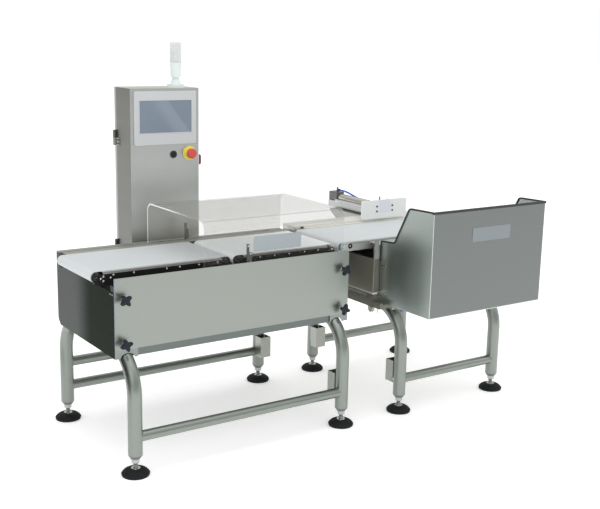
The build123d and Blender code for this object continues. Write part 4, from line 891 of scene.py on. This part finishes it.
add_turned(rod_seals, [
    (0.0064, 0.0), (0.0095, 0.0), (0.0095, 0.0012), (0.008, 0.002), (0.0064, 0.002), (0.0064, 0.0),
], [facing((pusher_x + dx, block_front, 0.751), to_front) for dx in (-0.044, 0.044)], 24)
add_piece("rod_seals", rod_seals, "machine", trim_rubber)


# The air hose. Blue polyurethane tube, 8 mm, pushed into a fitting at each end. Each fitting has a release
# ring of darker blue plastic.
hose_blue = grained("hose_blue", (0.02, 0.07, 0.42), (0.03, 0.1, 0.5), 0.25, (90, 90, 90), depth=0.0002)
dress(hose_blue, "air_hose")
ring_blue = grained(
    "ring_blue", (0.008, 0.015, 0.09), (0.012, 0.022, 0.12), 0.35, (800, 800, 800), depth=0.0001,
)
release_rings = bmesh.new()
release = [
    (0.0042, 0.0), (0.0058, 0.0), (0.0058, 0.0016), (0.0064, 0.0022), (0.0064, 0.0034), (0.0042, 0.0034),
    (0.0042, 0.0),
]
add_turned(release_rings, release, [
    facing((pusher_x, 0.5025, 0.792), to_front), facing((pusher_x + 0.030, 0.2305, 0.764), to_back),
], 24)
add_piece("release_rings", release_rings, "machine", ring_blue)


# The control cabinet. A folded shell with a door behind, brushed across. The door's seal, the hinge screws and the
# lock's insert are small pieces of their own. The steel's colour is painted for light and shade: the front's low half
# lighter, a painted reflection of the bright floor, the left side darker as painted shade, and the top and the
# front's right corner lighter as painted highlights.
cabinet_steel = brushed(
    "cabinet_steel", (0.44, 0.455, 0.445), 0.36, (6, 6, 800), 0.05,
    tint=lambda x, y, z: (
        (z.fade(0.66, 1.16) * y.fade(0.2955, 0.30), (0.70, 0.72, 0.70)),
        (x.fade(-0.5610, -0.5606), (0.21, 0.21, 0.195)),
        (z.band(1.2920, 1.2926), (0.78, 0.76, 0.70)),
        (x.band(-0.2635, -0.2625) * y.fade(0.2955, 0.2965), (0.80, 0.81, 0.79)),
    ),
)
dress(cabinet_steel, "cabinet_shell", "cabinet_door", "cabinet_bracket")
dress(rear_steel, "cabinet_hinges")
dress(bright_steel, "door_lock")
hinge_screws = bmesh.new()
add_turned(hinge_screws, small_screw, [
    facing((-0.564, y, z), to_left) for y in (0.3985, 0.412) for z in (0.628, 0.642, 1.071, 1.085)
], 14)
add_piece("hinge_screws", hinge_screws, "machine", dark_steel)
lock_x, lock_z = -0.286, 0.870
lock_insert = bmesh.new()
add_turned(lock_insert, [
    (0.0, 0.0006), (0.0035, 0.0006), (0.0042, 0.0012), (0.0088, 0.0012), (0.0094, 0.0), (0.0, 0.0),
], [facing((lock_x, 0.4445, lock_z), to_back)], 28)
low = (lock_x - 0.0012, 0.4450, lock_z - 0.006)
add_block(lock_insert, low, (lock_x + 0.0012, 0.4468, lock_z + 0.006), 0.0006)
add_piece("lock_insert", lock_insert, "door_lock", dark_steel)
seal_front, seal_back = 0.4214, 0.4364
door_seal = bmesh.new()
for low_x, high_x, low_z, high_z in (
    (-0.557, -0.264, 0.4545, 0.4625), (-0.557, -0.264, 1.2805, 1.2885),
    (-0.557, -0.549, 0.4625, 1.2805), (-0.272, -0.264, 0.4625, 1.2805),
):
    add_block(door_seal, (low_x, seal_front, low_z), (high_x, seal_back, high_z), 0.0015, 1)
add_piece("door_seal", door_seal, "door", trim_rubber)


# Inside the cabinet. The controls sit in three rows on a mounting plate: grey plastic modules on steel rails,
# with slotted wire ducts between the rows and rows of terminal screws on each module.
control_grey, control_place = start_finish("control_grey")
module_skin = control_place.noise((500, 500, 500), 2)
on_plate = control_place.axis(1).fade(0.3066, 0.3070)
set_finish(control_grey, {
    "Base Color": on_plate.mix(
        module_skin.mix((0.20, 0.21, 0.215), (0.25, 0.26, 0.265)),
        module_skin.mix((0.52, 0.53, 0.52), (0.58, 0.59, 0.58)),
    ),
    "Metallic": on_plate * 0.7,
    "Roughness": 0.45,
    "Normal": module_skin.bump(0.0001),
})
dress(control_grey, "control_backplate")
duct_back, duct_face, duct_height = 0.3066, 0.3400, 0.027
rib_pitch, rib_width = 0.0131, 0.0085
ducts = bmesh.new()
for duct_z in (0.479, 0.6265, 0.7865, 0.9465):
    add_block(ducts, (-0.534, duct_back, duct_z), (-0.287, duct_face, duct_z + duct_height), 0.001)
    for number in range(19):
        rib_x = -0.528 + number * rib_pitch
        low = (rib_x, duct_face, duct_z + 0.002)
        add_block(ducts, low, (rib_x + rib_width, duct_face + 0.0012, duct_z + duct_height - 0.002))
add_piece("wire_ducts", ducts, "machine", control_grey)
row_pitch, module_pitch, screw_pitch = 0.160, 0.07567, 0.0101
deep_face, shallow_face = 0.3665, 0.3545
terminals = bmesh.new()
for row in range(3):
    row_z = 0.512 + row * row_pitch
    for column in range(3):
        column_x = -0.519 + column * module_pitch
        face_y = shallow_face if (row + column) % 2 else deep_face
        add_turned(terminals, small_screw, [
            facing((column_x + 0.0075 + step * screw_pitch, face_y, row_z + z), to_back)
            for step in range(6) for z in (0.010, 0.100)
        ], 10)
add_piece("terminal_screws", terminals, "machine", bright_steel)


# The operator panel. A moulded light grey bezel round a glossy screen, with a thin raised lip round the glass.
# The screen is off, so it only shows a slanted gleam, a painted reflection in its colour.
bezel_grey = grained(
    "bezel_grey", (0.49, 0.505, 0.515), (0.55, 0.565, 0.575), 0.4, (900, 900, 900), depth=0.0001,
)
dress(bezel_grey, "hmi_housing")
screen_glass, screen_place = start_finish("screen_glass")
sheen = screen_place.noise((9, 9, 9), 2)
diagonal = screen_place.axis(0) + screen_place.axis(2) * 0.8
gleam = diagonal.band(0.50, 0.56) * diagonal.fade(0.585, 0.60)
set_finish(screen_glass, {
    "Base Color": gleam.mix(
        sheen.mix((0.155, 0.195, 0.25), (0.185, 0.225, 0.28)),
        sheen.mix((0.20, 0.245, 0.305), (0.22, 0.265, 0.325)),
    ),
    "Roughness": 0.14,
})
dress(screen_glass, "hmi_screen")
screen_x, screen_z = -0.4105, 1.182
lip_front, lip_back = 0.2855, 0.2868
lip = bmesh.new()
for low_x, high_x, low_z, high_z in (
    (-0.1165, 0.1165, 0.0629, 0.0659), (-0.1165, 0.1165, -0.0659, -0.0629),
    (-0.1165, -0.1134, -0.0629, 0.0629), (0.1134, 0.1165, -0.0629, 0.0629),
):
    low = (screen_x + low_x, lip_front, screen_z + low_z)
    add_block(lip, low, (screen_x + high_x, lip_back, screen_z + high_z), 0.0004)
add_piece("screen_lip", lip, "machine", bezel_grey)


# The start button and the emergency stop. A black button in a black collar with a thin bright ring, which stands in
# for the highlight on the collar's edge, and a red mushroom head over a yellow ring.
dress(knob_plastic, "start_button")
yellow_plastic, yellow_place = start_finish("yellow_plastic")
yellow_skin = yellow_place.noise((600, 600, 600), 2)
by_start = yellow_place.axis(0).fade(-0.3500, -0.3480)
set_finish(yellow_plastic, {
    "Base Color": by_start.mix(
        yellow_skin.mix((0.79, 0.71, 0.11), (0.87, 0.79, 0.15)),
        yellow_skin.mix((0.02, 0.021, 0.024), (0.035, 0.036, 0.04)),
    ),
    "Roughness": 0.35,
    "Normal": yellow_skin.bump(0.0001),
})
dress(yellow_plastic, "button_collars")
red_plastic = grained(
    "red_plastic", (0.58, 0.055, 0.05), (0.66, 0.08, 0.07), 0.3, (600, 600, 600), depth=0.0001,
)
dress(red_plastic, "estop_head")
collar_ring = bmesh.new()
add_turned(collar_ring, [
    (0.0151, 0.0), (0.0163, 0.0), (0.0161, 0.0010), (0.0156, 0.0014), (0.0151, 0.0012), (0.0151, 0.0),
], [facing((-0.376, 0.2925, 1.031), to_front)], 40)
add_piece("collar_ring", collar_ring, "machine", bright_steel)


# The main switch on the cabinet's right side. A black rotary isolator with a dark red grip, four screws in its
# plate and a pale mark on the grip.
dress(knob_plastic, "switch_base")
switch_red = grained(
    "switch_red", (0.16, 0.010, 0.010), (0.22, 0.014, 0.014), 0.35, (600, 600, 600), depth=0.0001,
)
dress(switch_red, "switch_knob")
pale_mark = grained("pale_mark", (0.60, 0.60, 0.58), (0.68, 0.68, 0.66), 0.5, (900, 900, 900))
switch_face, switch_y, switch_z, screw_circle_r = -0.252, 0.3625, 0.996, 0.0255
base_screws = bmesh.new()
add_turned(base_screws, [
    (0.0, 0.0002), (0.0008, 0.0002), (0.0011, 0.0004), (0.0018, 0.0004), (0.0019, 0.0), (0.0, 0.0),
], [
    facing((switch_face, switch_y + screw_circle_r * cos(turn), switch_z + screw_circle_r * sin(turn)), to_right)
    for turn in (pi / 4, 3 * pi / 4, 5 * pi / 4, 7 * pi / 4)
], 12)
add_piece("switch_screws", base_screws, "machine", bright_steel)
grip_mark = bmesh.new()
add_block(grip_mark, (-0.2158, 0.3614, 1.0005), (-0.2153, 0.3636, 1.009), 0.0002)
add_piece("grip_mark", grip_mark, "switch_knob", pale_mark)


# The signal light. A pale moulded foot and cup with a cloudy ribbed lens between two rings, and a lamp module
# inside it.
pale_plastic = grained(
    "pale_plastic", (0.68, 0.75, 0.73), (0.74, 0.80, 0.78), 0.35, (500, 500, 500), depth=0.0001,
)
dress(pale_plastic, "beacon_base")
frosted_lens = grained(
    "frosted_lens", (0.72, 0.74, 0.73), (0.82, 0.83, 0.82), 0.25, (300, 300, 8),
    depth=0.00004, extra={"Alpha": 0.72},
)
dress(frosted_lens, "beacon_lens")
lamp_x, lamp_y, cup_top = -0.326, 0.3655, 1.390
lamp_module = bmesh.new()
add_turned(lamp_module, [
    (0.0, 0.006), (0.0140, 0.006), (0.0140, 0.012), (0.0085, 0.016), (0.0085, 0.050), (0.0060, 0.056), (0.0, 0.057),
], [Matrix.Translation((lamp_x, lamp_y, cup_top))], 28)
add_piece("lamp_module", lamp_module, "machine", pale_plastic)
rings = bmesh.new()
add_turned(rings, [(0.0215, 0.0), (0.0226, 0.0), (0.0226, 0.0018), (0.0215, 0.0018), (0.0215, 0.0)], [
    Matrix.Translation((lamp_x, lamp_y, cup_top + height)) for height in (0.002, 0.038)
], 36)
add_piece("lens_rings", rings, "machine", frosted_lens)
